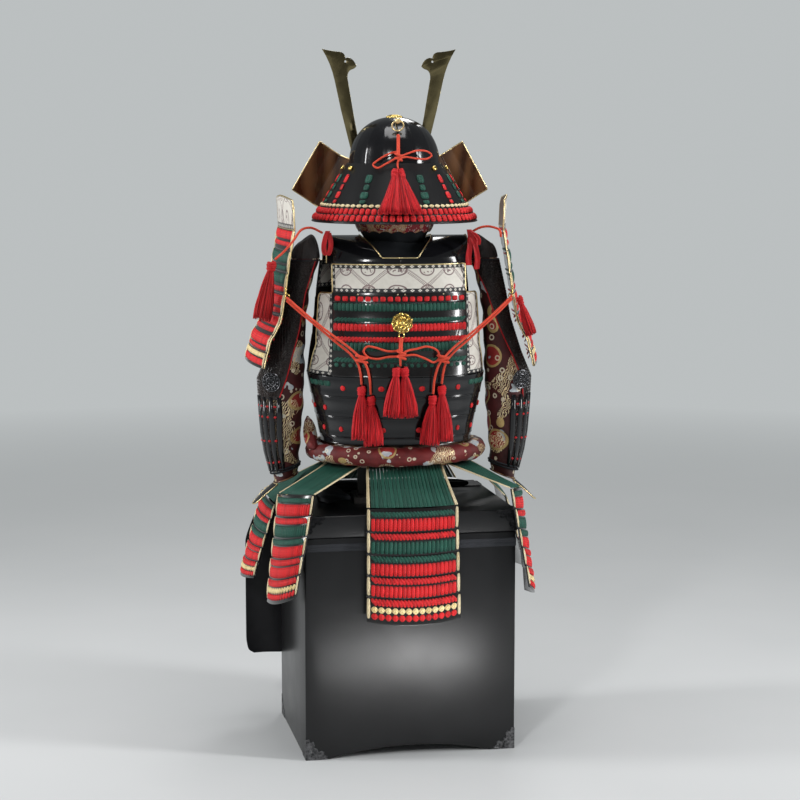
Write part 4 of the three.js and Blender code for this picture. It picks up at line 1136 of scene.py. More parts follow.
def tassel_mesh(name, top, bottom, head, skirt, count=110, seed=0):
    """A wound head over a skirt of separate threads round a full core."""
    random_ = random.Random(seed)
    top, bottom = np.array(top, float), np.array(bottom, float)
    axis = bottom - top
    length = np.linalg.norm(axis)
    axis /= length
    ref = np.array([1.0, 0, 0])
    a = np.cross(axis, ref)
    a /= np.linalg.norm(a)
    b = np.cross(axis, a)
    parts = [knot_mesh(name + "_head", top + axis * 8, axis, head, 14)]
    parts.append(knot_mesh(name + "_neck", top + axis * 17, axis, head * 0.9, 4))
    points, faces, uvs = [], [], []
    steps = 8
    for s in range(count):
        angle = 2 * math.pi * s / count * 7.03 + random_.uniform(-0.2, 0.2)
        depth = math.sqrt(random_.uniform(0.35, 1.0)) if s > count * 0.62 else random_.uniform(0.93, 1.02)
        end = length * random_.uniform(0.95, 1.0)
        swing = random_.uniform(-0.16, 0.16)
        wobble = random_.uniform(0, 6.28)
        half = random_.uniform(1.05, 1.5)
        base = len(points)
        for k in range(steps + 1):
            t = k / steps
            along = 15 + (end - 15) * t
            flare = head * 0.55 + (skirt * depth - head * 0.55) * (1 - (1 - t) ** 2.1)
            flare = min(flare + 1.2 * math.sin(3.1 * math.pi * t + wobble) * t, skirt)
            turn = angle + swing * t
            middle = top + axis * along + flare * (math.cos(turn) * a + math.sin(turn) * b)
            radial = math.cos(turn) * a + math.sin(turn) * b
            tangential = np.cross(axis, radial)
            w = half * (0.75 + 0.35 * t) * (1.0 if k < steps else 0.7)
            for c, d in ((-1, -0.5), (1, -0.5), (0, 0.9)):
                points.append(middle + tangential * c * w + radial * d * w)
                uvs.append((s + 0.2 + 0.3 * (c + 1), t * length))
        for k in range(steps):
            for j in range(3):
                i = (j + 1) % 3
                p, q = base + 3 * k, base + 3 * k + 3
                faces.append((p + j, p + i, q + i, q + j))
        faces.append((base + 2, base + 1, base))
        faces.append((base + 3 * steps, base + 3 * steps + 1, base + 3 * steps + 2))
    parts.append(joined(name + "_threads", place(points), faces, uvs))
    core_t = np.linspace(0, 1, 9)
    core = top + np.outer(16 + (length * 0.93 - 16) * core_t, axis)
    width = (head * 0.5 + (skirt * 0.86 - head * 0.5) * (1 - (1 - core_t) ** 2.1))
    parts.append(tube(name + "_core", core, width, None, 14, 0, slot=False))
    return parts


def tassels(name, node, items, material, slot="red_tassel"):
    parts = []
    for k, (top, bottom, head, skirt) in enumerate(items):
        parts += tassel_mesh(f"{name}_{k}", top, bottom, head, skirt, seed=hash_of(name) + k)
    return merged(name, parts, M[material], node, slot=slot)


def hash_of(text):
    return sum(ord(c) * (k + 1) for k, c in enumerate(text))


tassels("bow_tassels", "tassel_bow", [((-3, 188, 886), (-14, 190, 774), 7.6, 20), ((13, 188, 886), (24, 190, 774), 7.6, 20)], "tassel")
tassels("hanging_tassels_L", "tassels_L", [((90, 166, 842), (92, 172, 722), 7.6, 21), ((70, 168, 820), (64, 174, 708), 7.6, 22)], "tassel")
tassels("hanging_tassels_R", "tassels_R", [((-70, 168, 820), (-62, 174, 708), 7.6, 22), ((-90, 166, 842), (-94, 172, 716), 7.6, 21)], "tassel")
tassels("guard_tassel_L", "tassel_sode_L", [((285, 108, 1118), (309, 92, 986), 8.5, 20)], "dark_tassel")
tassels("guard_tassel_R", "tassel_sode_R", [((-270, 122, 1038), (-300, 122, 950), 6, 12)], "dark_tassel")


def helmet_tassels():
    """Two tassels side by side, fanned out flat on the neck guard."""
    random_ = random.Random(5)
    rings = np.array([(143, 1320, 11, 6), (145, 1314, 16, 8), (150, 1306, 15, 8), (176, 1270, 32, 10), (196, 1240, 47, 11), (205, 1226, 53, 11)], float)
    parts = []
    for x in (-7, 8):
        parts.append(knot_mesh("fan_head", (6 + x * 0.8, 144, 1317), (0.05 * x, 0.2, -1), 6.5, 12))
        parts.append(knot_mesh("fan_neck", (6 + x, 147, 1308), (0.1 * x, 0.3, -1), 6.8, 4))
    points, faces, uvs = [], [], []
    count, steps = 260, 9
    for s in range(count):
        share = (s + random_.uniform(-0.4, 0.4)) / count
        layer = random_.choice((0.25, 0.6, 0.95))
        wob = random_.uniform(0, 6.28)
        end = random_.uniform(0.94, 1.0)
        half = random_.uniform(1.0, 1.4)
        base = len(points)
        for k in range(steps + 1):
            t = k / steps * end
            y, z, hx, hy = [np.interp(t, [0, 0.1, 0.2, 0.6, 0.9, 1.0], rings[:, c]) for c in range(4)]
            x = 6 + hx * (2 * share - 1) * 0.95 + 1.1 * math.sin(7 * t + wob) * t
            lump = 1 - 0.45 * math.exp(-(((2 * share - 1) / 0.18) ** 2)) * (t > 0.15)
            yy = y + hy * layer * lump * math.sqrt(max(0.0, 1 - (2 * share - 1) ** 2))
            w = half * (0.7 + 0.5 * t)
            for c, d in ((-1, -0.5), (1, -0.5), (0, 0.9)):
                points.append((x + c * w, yy + d * w, z))
                uvs.append((s + 0.2 + 0.3 * (c + 1), t * 100))
        for k in range(steps):
            for j in range(3):
                i = (j + 1) % 3
                p, q = base + 3 * k, base + 3 * k + 3
                faces.append((p + j, q + j, q + i, p + i))
        faces.append((base, base + 1, base + 2))
        faces.append((base + 3 * steps + 2, base + 3 * steps + 1, base + 3 * steps))
    parts.append(joined("fan_threads", place(points), faces, uvs))
    return merged("helmet_tassels", parts, M["tassel"], "tassel_helmet", slot="red_tassel")


helmet_tassels()

# ---------------------------------------------------------------- storage chest

chest = from_cad("chest_case", "chest_body", 3.2, 3)
dress(chest, M["leatherette"], "chest_body", slot="chest_lacquer")
lid = from_cad("chest_lid_case", "chest_lid", 3.2, 3)
dress(lid, M["leatherette"], "chest_lid", slot="chest_lacquer")

FITTING = [(0, 0), (48, 0), (50, 7), (41, 11), (43, 17), (36, 21), (29, 18), (26, 26), (18, 29), (21, 36), (17, 43), (11, 41), (7, 50), (0, 48)]


def fitting_template():
    """A scalloped corner plate with a raised rim and three raised scrolls."""
    deselect()
    bpy.ops.mesh.primitive_circle_add(vertices=len(FITTING), radius=20, fill_type="NGON")
    obj = bpy.context.object
    for vertex, (x, y) in zip(obj.data.vertices, FITTING):
        vertex.co = (x, y, 0)
    bpy.ops.object.mode_set(mode="EDIT")
    bpy.ops.mesh.select_all(action="SELECT")
    bpy.ops.mesh.extrude_region_move(TRANSFORM_OT_translate={"value": (0, 0, 0.4)})
    bpy.ops.mesh.inset(thickness=1.6)
    bpy.ops.transform.translate(value=(0, 0, -0.22))
    bpy.ops.object.mode_set(mode="OBJECT")
    bpy.ops.mesh.primitive_torus_add(
        location=(17, 17, 0.2), major_radius=6, minor_radius=1.1, major_segments=20, minor_segments=6
    )
    scroll = bpy.context.object
    scroll.scale = (1, 1, 0.32)
    bpy.ops.mesh.primitive_torus_add(
        location=(33, 9.5, 0.2), major_radius=4, minor_radius=1.0, major_segments=16, minor_segments=6
    )
    second = bpy.context.object
    second.scale = (1.5, 1, 0.3)
    bpy.ops.mesh.primitive_torus_add(
        location=(9.5, 33, 0.2), major_radius=4, minor_radius=1.0, major_segments=16, minor_segments=6
    )
    third = bpy.context.object
    third.scale = (1, 1.5, 0.3)
    deselect()
    for part in (obj, scroll, second, third):
        part.select_set(True)
    bpy.context.view_layer.objects.active = obj
    bpy.ops.object.join()
    return template("fitting")


FITTING_SHAPE = fitting_template()


def fittings(name, corners, material):
    """Corner plates: each corner is (point, along, up, outward)."""
    pts, faces = FITTING_SHAPE
    points, copies = [], []
    for point, a, b, n in corners:
        base = len(points)
        points += list(np.array(point) + np.outer(pts[:, 0], a) + np.outer(pts[:, 1], b) + np.outer(pts[:, 2], n))
        flip = np.dot(np.cross(a, b), n) < 0
        copies += [tuple(base + c for c in (f[::-1] if flip else f)) for f in faces]
    obj = joined(name, place(points, False), copies)
    smooth(obj, 30)
    return dress(obj, material, slot="chest_lacquer")


lid_corners, body_corners = [], []
for sx in (-1, 1):
    for sy in (-1, 1):
        lid_corners.append(((sx * LID["x"], sy * (LID["y"] + 0.05), LID["top"]), (-sx, 0, 0), (0, 0, -0.9), (0, sy, 0)))
        lid_corners.append(((sx * (LID["x"] + 0.05), sy * LID["y"], LID["top"]), (0, -sy, 0), (0, 0, -0.9), (sx, 0, 0)))
        if sy > 0:
            lid_corners.append(((sx * LID["x"], sy * LID["y"], LID["top"] + 0.05), (-sx, 0, 0), (0, -sy, 0), (0, 0, 1)))
        body_corners.append(((sx * CHEST["x"], sy * (CHEST["y"] + 0.05), 0.3), (-sx, 0, 0), (0, 0, 1), (0, sy, 0)))
        body_corners.append(((sx * (CHEST["x"] + 0.05), sy * CHEST["y"], 0.3), (0, -sy, 0), (0, 0, 1), (sx, 0, 0)))
fittings("lid_corner_fittings", lid_corners, M["gunmetal"])
fittings("body_corner_fittings", body_corners, M["pewter"])


def chest_tie():
    """The cloth tie laid round the case under the lid, a little slack along its lower edge."""
    x, y, r = CHEST["x"] + 0.7, CHEST["y"] + 0.7, 3.5
    loop = []
    for cx, cy, start in ((x - r, y - r, 0), (-x + r, y - r, 90), (-x + r, -y + r, 180), (x - r, -y + r, 270)):
        for step in range(4):
            t = math.radians(start + 30 * step)
            loop.append((cx + r * math.cos(t), cy + r * math.sin(t)))
    loop = np.array(loop + [loop[0]])
    run = np.concatenate([[0], np.cumsum(np.linalg.norm(np.diff(loop, axis=0), axis=1))])
    s = np.linspace(0, run[-1], 321)
    px, py = np.interp(s, run, loop[:, 0]), np.interp(s, run, loop[:, 1])
    rows = []
    for k, share in enumerate((0, 0.07, 0.45, 0.5, 0.55, 0.93, 1.0)):
        low = BAND["low"] + 1.2 * np.sin(s / 61.0) - 4.5 * np.clip((242 - px) / 484, 0, 1) * (py > 190)
        high = BAND["high"] + 0.8 * np.sin(s / 83.0)
        z = high + (low - high) * share
        proud = 0.0 if k in (0, 6) else (0.75 if k != 3 else 0.1)
        length = np.hypot(px, py)
        rows.append(np.stack([px + proud * px / length, py + proud * py / length, z], -1))
    obj = sheet_grid("chest_tie_band", rows, turned=False, closed=True)
    facing(obj, (0, 0))
    apply(obj, "SOLIDIFY", thickness=0.0008, offset=1)
    smooth(obj, 50)
    dress(obj, M["tie_cloth"], "chest_band", slot="black_cloth")


chest_tie()

# ---------------------------------------------------------------- stand and head form

stand = NODES["stand_frame"]
stand.data.materials.clear()
stand.data.materials.append(M["stand"])


def head_form():
    """The padded head, its cloth drawn in at the neck with soft folds."""
    profile = np.array([(2, 1120.6), (30, 1120.6), (62, 1121), (66, 1150), (74, 1172), (86, 1190), (91, 1212), (90, 1300), (84, 1360), (66, 1398), (36, 1424), (2, 1433.5)], float)
    fine = catmull([(r, 0, z) for r, z in profile], 60)
    angles = np.linspace(0, 2 * np.pi, 97)
    rows = []
    for r, _, z in fine:
        fold = 1.3 * np.sin(9 * angles + 0.05 * (z - 1150)) * np.exp(-(((z - 1165) / 32) ** 2))
        fold = fold + 0.6 * np.sin(4 * angles + 1.3)
        rr = max(r - 1.6, 0.4) + fold * min(1, r / 50)
        rows.append(np.stack([rr * np.cos(angles), rr * np.sin(angles), np.full(97, min(max(z, 1120.5), 1433.6))], -1))
    obj = sheet_grid("padded_head_form", rows, closed=True)
    bpy.context.view_layer.objects.active = obj
    bpy.ops.object.mode_set(mode="EDIT")
    bpy.ops.mesh.select_all(action="DESELECT")
    bpy.ops.mesh.select_non_manifold()
    bpy.ops.mesh.edge_face_add()
    bpy.ops.mesh.fill_holes(sides=0)
    bpy.ops.object.mode_set(mode="OBJECT")
    outwards(obj)
    smooth(obj, 60)
    dress(obj, M["black_cloth"], "head_form", slot="black_cloth")
    rows = []
    span = np.linspace(0, 2 * np.pi, 193)
    for share in (0, 0.12, 0.5, 0.85, 1.0):
        low = 1178 + 5 * np.abs(np.sin(span * 9))
        z = 1203 + (low - 1203) * share
        radius = np.interp(z, [1170, 1190, 1212], [76, 89, 94]) + 0.8 * np.sin(18 * span) * share
        rows.append(np.stack([radius * np.cos(span), radius * np.sin(span), z], -1))
    liner = sheet_grid("helmet_lining_edge", rows, closed=True)
    facing(liner, (0, 0))
    apply(liner, "SOLIDIFY", thickness=0.0014, offset=-1)
    smooth(liner, 50)
    dress(liner, M["scallop"], slot="brocade")


head_form()

# ---------------------------------------------------------------- body armour


def lame_rows(lames, lip=0.7, first=0.4):
    """Heights and offsets down a stack of lames, with a thin rolled edge on each."""
    rows = []
    for k, (z, o) in enumerate(lames[:-1]):
        low = lames[k + 1][0]
        top = z - (0.4 if k else 0)
        rows += [(top, o - first), (top - 1.2, o), (top * 0.6 + low * 0.4, o), (low + 3.2, o), (low + 1.4, o + lip), (low + 0.3, o + lip * 0.6)]
    return rows


def lower_body():
    angles = np.linspace(0, 2 * np.pi, 129)
    rows = [torso_at(angles, z, o) for z, o in lame_rows(LOWER_LAMES)]
    obj = sheet_grid("waist_lames", rows, closed=True)
    walled(obj, 4.2)
    smooth(obj, 30)
    dress(obj, M["black"], "cuirass_lower", slot="black_lacquer")
    rims = []
    for z, o in LOWER_LAMES[1:]:
        rims.append(tube(f"waist_rim_{z}", torso_at(angles[:-1], z + 1.0, o + 0.2), 0.8, None, 5, closed=True, slot=False))
    merged("waist_lame_edges", rims, M["black_plate"], slot="black_lacquer")


lower_body()
BACK = Skin(torso_face(), 0.5, 0.5, (0, TORSO_Y, 980), lame_offset(UPPER_LAMES))
FRONT = Skin(torso_face(True), 0.5, 0.5, (0, TORSO_Y, 980), lame_offset(UPPER_LAMES))
ROUND = Skin(lambda t, z: torso_at(t, z), 0.004, 0.5, (0, TORSO_Y, 780), lame_offset(LOWER_LAMES))


def body_face(name, node, skin, side):
    """The laced part of the back or the front: plain lames under rows of silk."""
    half = ROW_HALF if side > 0 else None
    rows = []
    for z, o in lame_rows([(z, o) for z, o in UPPER_LAMES]):
        if half:
            angles = np.linspace(-torso_angle(z, half), torso_angle(z, half), 49)
        else:
            edge = math.radians(68 if z > 930 else 84 + (68 - 84) * (z - 861) / 69.0)
            angles = np.pi + np.linspace(-edge, edge, 65)
        rows.append(torso_at(angles, z, o))
    obj = sheet_grid(f"{name}_lames", rows)
    walled(obj, 4.0)
    smooth(obj, 30)
    dress(obj, M["black_plate"], node, slot="laced_lames")
    w = ROW_HALF - 2
    lay(f"{name}_knots", skin, LACE, row(18, -w, w, 1036, 11, 3.2, 0.74), M["red"], slot="laced_lames")
    lay(f"{name}_green_a", skin, LACE, row(34, -w, w, 1017.5, 17.5, 2.5, 0.97), M["green"], slot="laced_lames")
    lay(f"{name}_green_twist_a", skin, TWIST, row(38, -w + 3, w - 3, 989.5, 10, 2.7, 1.25), M["green"], slot="laced_lames")
    lay(f"{name}_red_a", skin, LACE, row(34, -w, w, 972.5, 16.5, 2.5, 0.97), M["red"], slot="laced_lames")
    lay(f"{name}_red_twist_a", skin, TWIST, row(38, -w + 3, w - 3, 946.5, 11, 2.9, 1.25), M["red_twist"], slot="laced_lames")
    lay(f"{name}_green_b", skin, LACE, row(34, -w, w, 929.5, 19, 2.5, 0.97), M["green"], slot="laced_lames")
    lay(f"{name}_green_twist_b", skin, TWIST, row(38, -w + 3, w - 3, 900, 11, 2.7, 1.25), M["green"], slot="laced_lames")
    lay(f"{name}_green_knots", skin, STUD, row(20, -w, w, 888, 9.5, 1.5, 0.62), M["green"], slot="laced_lames")
    lay(f"{name}_rivets", skin, STUD, [(x, 3.4, 1046, 3.4, 0.6) for x in (-96, -8, 8, 96)], M["cream"], slot="laced_lames")


body_face("back", "cuirass_back", BACK, 1)


def upper_front():
    rows = []
    for z in np.linspace(1112, 1050.2, 8):
        angles = np.pi + np.linspace(-math.radians(68), math.radians(68), 65)
        rows.append(torso_at(angles, z, 0.2))
    obj = sheet_grid("front_panel_leather", rows)
    walled(obj, 4.0, bevel=0.6)
    smooth(obj, 30)
    dress(obj, M["panel_print"], slot="printed_leather")
    edge = [torso_at(np.pi + a, 1111.6, 1.2) for a in np.linspace(-math.radians(68), math.radians(68), 60)]
    tube("front_panel_rim", edge, 1.5, M["gilt"], 8, slot="gilt_metal")


body_face("front", "cuirass_front", FRONT, -1)
upper_front()


def back_panel():
    rows = []
    for z in np.linspace(1111.8, 1050.1, 8):
        edge = torso_angle(z, ROW_HALF)
        rows.append(torso_at(np.linspace(-edge, edge, 49), z, 0.3))
    obj = sheet_grid("back_panel_leather", rows)
    walled(obj, 4.2, bevel=0.8)
    smooth(obj, 30)
    dress(obj, M["panel_print"], "back_panel", slot="printed_leather")
    path = [torso_at(torso_angle(z, -ROW_HALF), z, 1.0) for z in np.linspace(1050, 1109, 12)]
    edge = torso_angle(1111.4, ROW_HALF)
    path += [torso_at(a, 1111.6, 1.0) for a in np.linspace(-edge * 0.985, edge * 0.985, 50)]
    path += [torso_at(torso_angle(z, ROW_HALF), z, 1.0) for z in np.linspace(1109, 1050, 12)]
    tube("back_panel_rim", path, 1.5, M["gilt"], 8, slot="gilt_metal")


back_panel()


def wing(mark, side):
    """The leather panel beside the laced rows, curved in under the arm."""
    zs = [1047.5, 1044, 1036, 1010, 980, 950, 930, 912, 896, 880, 862]
    rows = []
    rim = []
    for z in zs:
        inner = torso_angle(z, side * (ROW_HALF + 0.6))
        outer = side * math.radians(68 if z > 930 else 84 + (68 - 84) * (z - 861) / 69.0)
        round_off = {1047.5: 0.72, 1044: 0.9, 1036: 0.985}.get(z, 0.995)
        outer = inner + (outer - inner) * round_off
        rows.append(torso_at(np.linspace(inner, outer, 17)[:: side], z, 1.2))
        rim.append(torso_at(outer, z, 1.8))
    top = [torso_at(a, 1047.6, 1.8) for a in np.linspace(torso_angle(1047.5, side * (ROW_HALF + 1)), torso_angle(1047.5, side * (ROW_HALF + 1)) * 0.28 + side * math.radians(68) * 0.72, 5)]
    obj = sheet_grid(f"wing_leather_{mark}", rows)
    walled(obj, 4.6, bevel=0.8)
    smooth(obj, 30)
    dress(obj, M["wing_print"], f"wing_{mark}", slot="printed_leather")
    path = catmull(top[:-1] + rim, 60)
    tube(f"wing_rim_{mark}", path, 1.5, M["gilt"], 8, slot="gilt_metal")
    zone = Skin(lambda t, z: torso_at(t, z), 0.004, 0.5, (0, TORSO_Y, 780), lambda z: 6.0 + 0 * np.asarray(z))
    a0, a1 = torso_angle(845, side * 153), side * math.radians(78)
    lay(f"side_lacing_{mark}", zone, LACE, row(4, min(a0, a1), max(a0, a1), 845, 12.5, 2.6, 0.99), M["green"], slot="laced_lames")


for mark, side in (("L", 1), ("R", -1)):
    wing(mark, side)

knots = []
for z, xs in ((836, (45, 127)), (788, (163, 188)), (740, (40, 130, 164)), (706.6, (166,))):
    for x in xs:
        for side in (-1, 1):
            a = float(torso_angle(z, side * min(x, 0.985 * torso_halves(z)[0])))
            if z < 710:
                continue
            radius = 190.0
            knots.append((a, 13 / radius, z, 12.5, 1.8))
            knots.append((math.pi - a, 13 / radius, z, 12.5, 1.8))
lay("waist_knots", ROUND, STUD, knots, M["red"], slot="laced_lames", lift=-0.2)
lines = []
for z in (820, 812, 772, 764, 728, 719.5):
    for side in (-1, 1):
        lines.append((side * 0.62, 0.5, z, 1.0, 0.5))


def shoulder(mark, side):
    """Half of the yoke over the shoulder, from the back's upper edge to the front's."""
    outer, neck_low, neck_high, rise, strip, thick = 162, 36, 82, 60, 14, 3
    base = 1112.4
    a, b = torso_halves(1112)
    lift = math.asin(strip / rise)
    half_arcs = [0, lift * 0.5, lift, lift + 0.02, 0.42, 0.6, 0.8, 1.0, 1.25, math.pi / 2]
    arcs = half_arcs + [math.pi - t for t in half_arcs[:-1][::-1]]

    def line(t, drop, shares):
        s = math.sin(t)
        near = 0.3 if s <= strip / rise + 1e-6 else neck_low + (neck_high - neck_low) * s ** 1.5
        x = near + (outer - near) * shares
        reach = b * (1 - (x / a) ** POWER) ** (1 / POWER) - drop
        return np.stack([side * x, TORSO_Y + reach * math.cos(t), base + (rise - drop) * s + 0 * x], -1)

    shares = np.linspace(0, 1, 17)
    skin = np.array([line(t, 0, shares) for t in arcs])
    inner = np.array([line(t, thick, shares) for t in arcs])
    obj = sheet_grid(f"shoulder_plate_{mark}", skin)
    up = sum(p.normal.z * p.area for p in obj.data.polygons)
    if up < 0:
        obj.data.flip_normals()
    apply(obj, "SOLIDIFY", thickness=0.0028, offset=-1)
    apply(obj, "BEVEL", width=0.0006, segments=2, limit_method="ANGLE", angle_limit=math.radians(50))
    smooth(obj, 30)
    dress(obj, M["black"], f"shoulder_{mark}", slot="black_lacquer")
    del inner
    edges = []
    fine = [0, lift * 0.5, lift] + list(np.linspace(lift + 0.02, math.pi - lift - 0.02, 40)) + [math.pi - lift, math.pi - lift * 0.5, math.pi]
    for share in (0.0, 1.0):
        path = np.array([line(t, 0, np.array([share]))[0] for t in fine])
        path[:, 2] += 0.2
        if share == 0.0:
            path = path[3:-3]
        edges.append(tube(f"yoke_rim_{mark}_{share}", path, 1.4, None, 7, slot=False))
    for t in (lift, math.pi - lift):
        path = line(t, -0.6, np.linspace(0, (neck_low + 4) / outer, 8))
        edges.append(tube(f"yoke_strip_{mark}_{t:.1f}", path, 1.3, None, 7, slot=False))
    merged(f"shoulder_rim_{mark}", edges, M["gilt"], slot="gilt_metal")


for mark, side in (("L", 1), ("R", -1)):
    shoulder(mark, side)


def neck_cloth():
    """The black cloth that lines the neck opening between the yoke plates."""
    rows = []
    angles = np.linspace(-2.2, 2.2, 61)
    for z, r in ((1123, 84), (1128, 80), (1136, 76), (1146, 74), (1154, 76.5), (1158, 77)):
        fold = 1.5 * np.sin(5 * angles + z * 0.11) + 0.8 * np.sin(13 * angles)
        rows.append(np.stack([(r + fold) * np.sin(angles), (r + fold) * np.cos(angles), z + 2 * np.sin(3 * angles)], -1))
    obj = sheet_grid("neck_cloth", rows)
    facing(obj, (0, 0))
    apply(obj, "SOLIDIFY", thickness=0.0018, offset=1)
    smooth(obj, 50)
    dress(obj, M["black_cloth"], slot="black_cloth")


neck_cloth()


def boss():
    """Gilt openwork flower: two rings of curled petals round a beaded middle."""
    parts = []
    for count, radius, length, width, lift in ((9, 17.5, 9.5, 5.4, 3.2), (9, 10.0, 7.5, 4.4, 6.4)):
        for k in range(count):
            t = 2 * math.pi * (k + (0.5 if radius < 12 else 0)) / count
            s = np.linspace(0, 2 * np.pi, 17)[:-1]
            lx, lz = length * 0.62 * np.cos(s), width * np.sin(s) * (1 - 0.25 * np.cos(s))
            cx, cz = math.cos(t), math.sin(t)
            x = (radius + lx) * cx - lz * cz
            z = (radius + lx) * cz + lz * cx
            y = lift + 1.5 * np.cos(s)
            path = np.stack([x, 169 + y, 984 + z * 0.95], -1)
            parts.append(tube(f"petal_{radius}_{k}", path, 1.5, None, 6, closed=True, slot=False))
            inner = np.stack([radius * cx + 0.4 * (x - radius * cx), 169 + y + 0.6, 984 + 0.95 * (radius * cz + 0.4 * (z - radius * cz))], -1)
            parts.append(tube(f"petal_in_{radius}_{k}", inner, 1.1, None, 5, closed=True, slot=False))
    deselect()
    bpy.ops.mesh.primitive_uv_sphere_add(segments=14, ring_count=8, radius=1)
    core = bpy.context.object
    pts = np.array([v.co[:] for v in core.data.vertices])
    core.data.vertices.foreach_set("co", place(np.stack([pts[:, 0] * 6.5, 176 + pts[:, 1] * 5, 984 + pts[:, 2] * 6.5], -1)).ravel())
    parts.append(core)
    bpy.ops.mesh.primitive_cylinder_add(vertices=36, radius=1, depth=1)
    dish = bpy.context.object
    pts = np.array([v.co[:] for v in dish.data.vertices])
    dish.data.vertices.foreach_set("co", place(np.stack([pts[:, 0] * 23, 170 + pts[:, 2] * 2, 984 + pts[:, 1] * 22], -1)).ravel())
    parts.append(dish)
    t = np.linspace(0, 2 * np.pi, 33)[:-1]
    parts.append(tube("boss_ring", np.stack([2 + 6 * np.cos(t), 178 + 0 * t, 957 + 6 * np.sin(t)], -1), 1.3, None, 6, closed=True, slot=False))
    obj = merged("back_flower_boss", parts, M["gilt_cast"], "back_boss", slot="gilt_metal")
    smooth(obj, 40)


boss()

# ---------------------------------------------------------------- belt


def belt():
    """The stuffed roll round the waist, creased where it is wound, and its free end turned up."""
    around = np.linspace(0, 2 * np.pi, 241)
    rows = []
    for t in np.linspace(0, 2 * np.pi, 33):
        crease = 1.5 * np.sin(17 * around + 1.5 * np.sin(3 * around) + 1.2 * t)
        crease = crease * (0.5 + 0.5 * np.sin(5 * around + 0.6)) + 1.1 * np.sin(31 * around - 2.0 * t) * 0.6
        slump = 1.2 * np.sin(4 * around + 0.4)
        r = 21.0 + crease * 0.9 + slump * 0.5
        grow = r * np.cos(t)
        rows.append(np.stack([(188 + grow) * np.sin(around), TORSO_Y + (142 + grow) * np.cos(around), 680 + r * np.sin(t)], -1))
    obj = sheet_grid("belt_roll_padded", rows, turned=False, closed=True)
    outwards(obj)
    smooth(obj, 60)
    dress(obj, M["belt_brocade"], "belt_roll", slot="brocade")
    line = np.array([(198, 66, 690, 3), (200, 56, 694, 12), (201, 36, 703, 15), (200, 14, 718, 16.5), (199, -6, 730, 16), (199, -22, 742, 15), (199, -31, 749, 11), (199, -34, 752, 5), (199, -34.5, 752.5, 1)], float)
    fine = catmull([(x, y, z) for x, y, z, _ in line], 40)
    radii = np.interp(np.linspace(0, 1, 40), np.linspace(0, 1, len(line)), line[:, 3])
    angles = np.linspace(0, 2 * np.pi, 33)
    rows = []
    for (x, y, z), r in zip(fine, radii):
        pleat = r * (0.95 + 0.05 * np.sin(7 * angles + 0.1 * z))
        rows.append(np.stack([x + pleat * np.cos(angles), y + 0.62 * pleat * np.sin(angles), z + 0.78 * pleat * np.sin(angles)], -1))
    end = sheet_grid("belt_turned_end", rows, turned=False, closed=True)
    bpy.context.view_layer.objects.active = end
    bpy.ops.object.mode_set(mode="EDIT")
    bpy.ops.mesh.select_all(action="SELECT")
    bpy.ops.mesh.fill_holes(sides=0)
    bpy.ops.object.mode_set(mode="OBJECT")
    outwards(end)
    smooth(end, 60)
    dress(end, M["belt_brocade"], "belt_end", slot="brocade")


belt()

# ---------------------------------------------------------------- waist laces and tassets

WAISTBAND = dict(x=162.0, y=116.0, top=700.0, low=650.0)


def hanger_face(spec, side):
    """The fan of laces from the waistband to a tasset's upper edge: share across, share down."""
    top = mirrored(spec["top"], side)

    def surface(u, v):
        u, v = np.broadcast_arrays(np.asarray(u, float), np.asarray(v, float))
        t = np.radians(spec["band"][0] + (spec["band"][1] - spec["band"][0]) * u)
        x = side * (WAISTBAND["x"] - 1.5) * np.sin(t)
        y = TORSO_Y + (WAISTBAND["y"] - 1.5) * np.cos(t)
        start = np.stack([x, y, np.full(u.shape, WAISTBAND["low"] + 4)], -1)
        end = arc3(top, u)
        flat = end * [1, 1, 0]
        end = end + 1.5 * flat / np.linalg.norm(flat, axis=-1, keepdims=True)
        return start + (end - start) * v[..., None]

    return surface


def waistband():
    around = np.linspace(0, 2 * np.pi, 129)
    rows = [
        np.stack([(WAISTBAND["x"] + o) * np.sin(around), TORSO_Y + (WAISTBAND["y"] + o) * np.cos(around), np.full(129, z)], -1)
        for z, o in ((700, -0.6), (697, 0), (675, 0.3), (653, 0), (650, -0.6))
    ]
    obj = sheet_grid("waistband", rows, turned=False, closed=True)
    walled(obj, 3.0)
    smooth(obj, 40)
    dress(obj, M["wood"], "waist_laces", slot="brown_leather")


waistband()


def hanger(name, spec, side, count):
    surface = hanger_face(spec, side)
    skin = Skin(surface, 0.01, 0.01, (0, TORSO_Y, 200), turned=False)
    cells = row(count, 0.045, 0.955, 0.48, 0.99, 2.3, 0.9)
    obj = lay(f"{name}_laces", skin, LONG_LACE, cells, M["green_long"], slot="green_lace", lift=0.3)
    edges = [(0.018, 0.034, 0.48, 0.99, 3.0), (0.982, 0.034, 0.48, 0.99, 3.0)]
    lay(f"{name}_edge_straps", skin, LONG_LACE, edges, M["cream_long"], slot="gilt_metal", lift=0.3)
    return obj


def long_shape(x, y, z):
    """A hanging lace: flat, crowned, and a little slack along its length."""
    crown = (0.5 + 0.5 * (1 - (2 * x) ** 2)) if z > 0.4 else 0.12 * (z + 0.5)
    return (x * (1 - 0.05 * math.cos(9 * y)), y, crown + (0.0 if z < 0 else 0.12 * math.sin(5 * y + x)))


LONG_LACE = shaped("long_lace", 3, long_shape)


def tasset_offset(v):
    bounds_ = np.array(TASSET_LAMES)
    k = np.clip(np.searchsorted(bounds_, np.asarray(v, float), side="right") - 1, 0, 4)
    return TASSET_THICK + TASSET_STEP * k


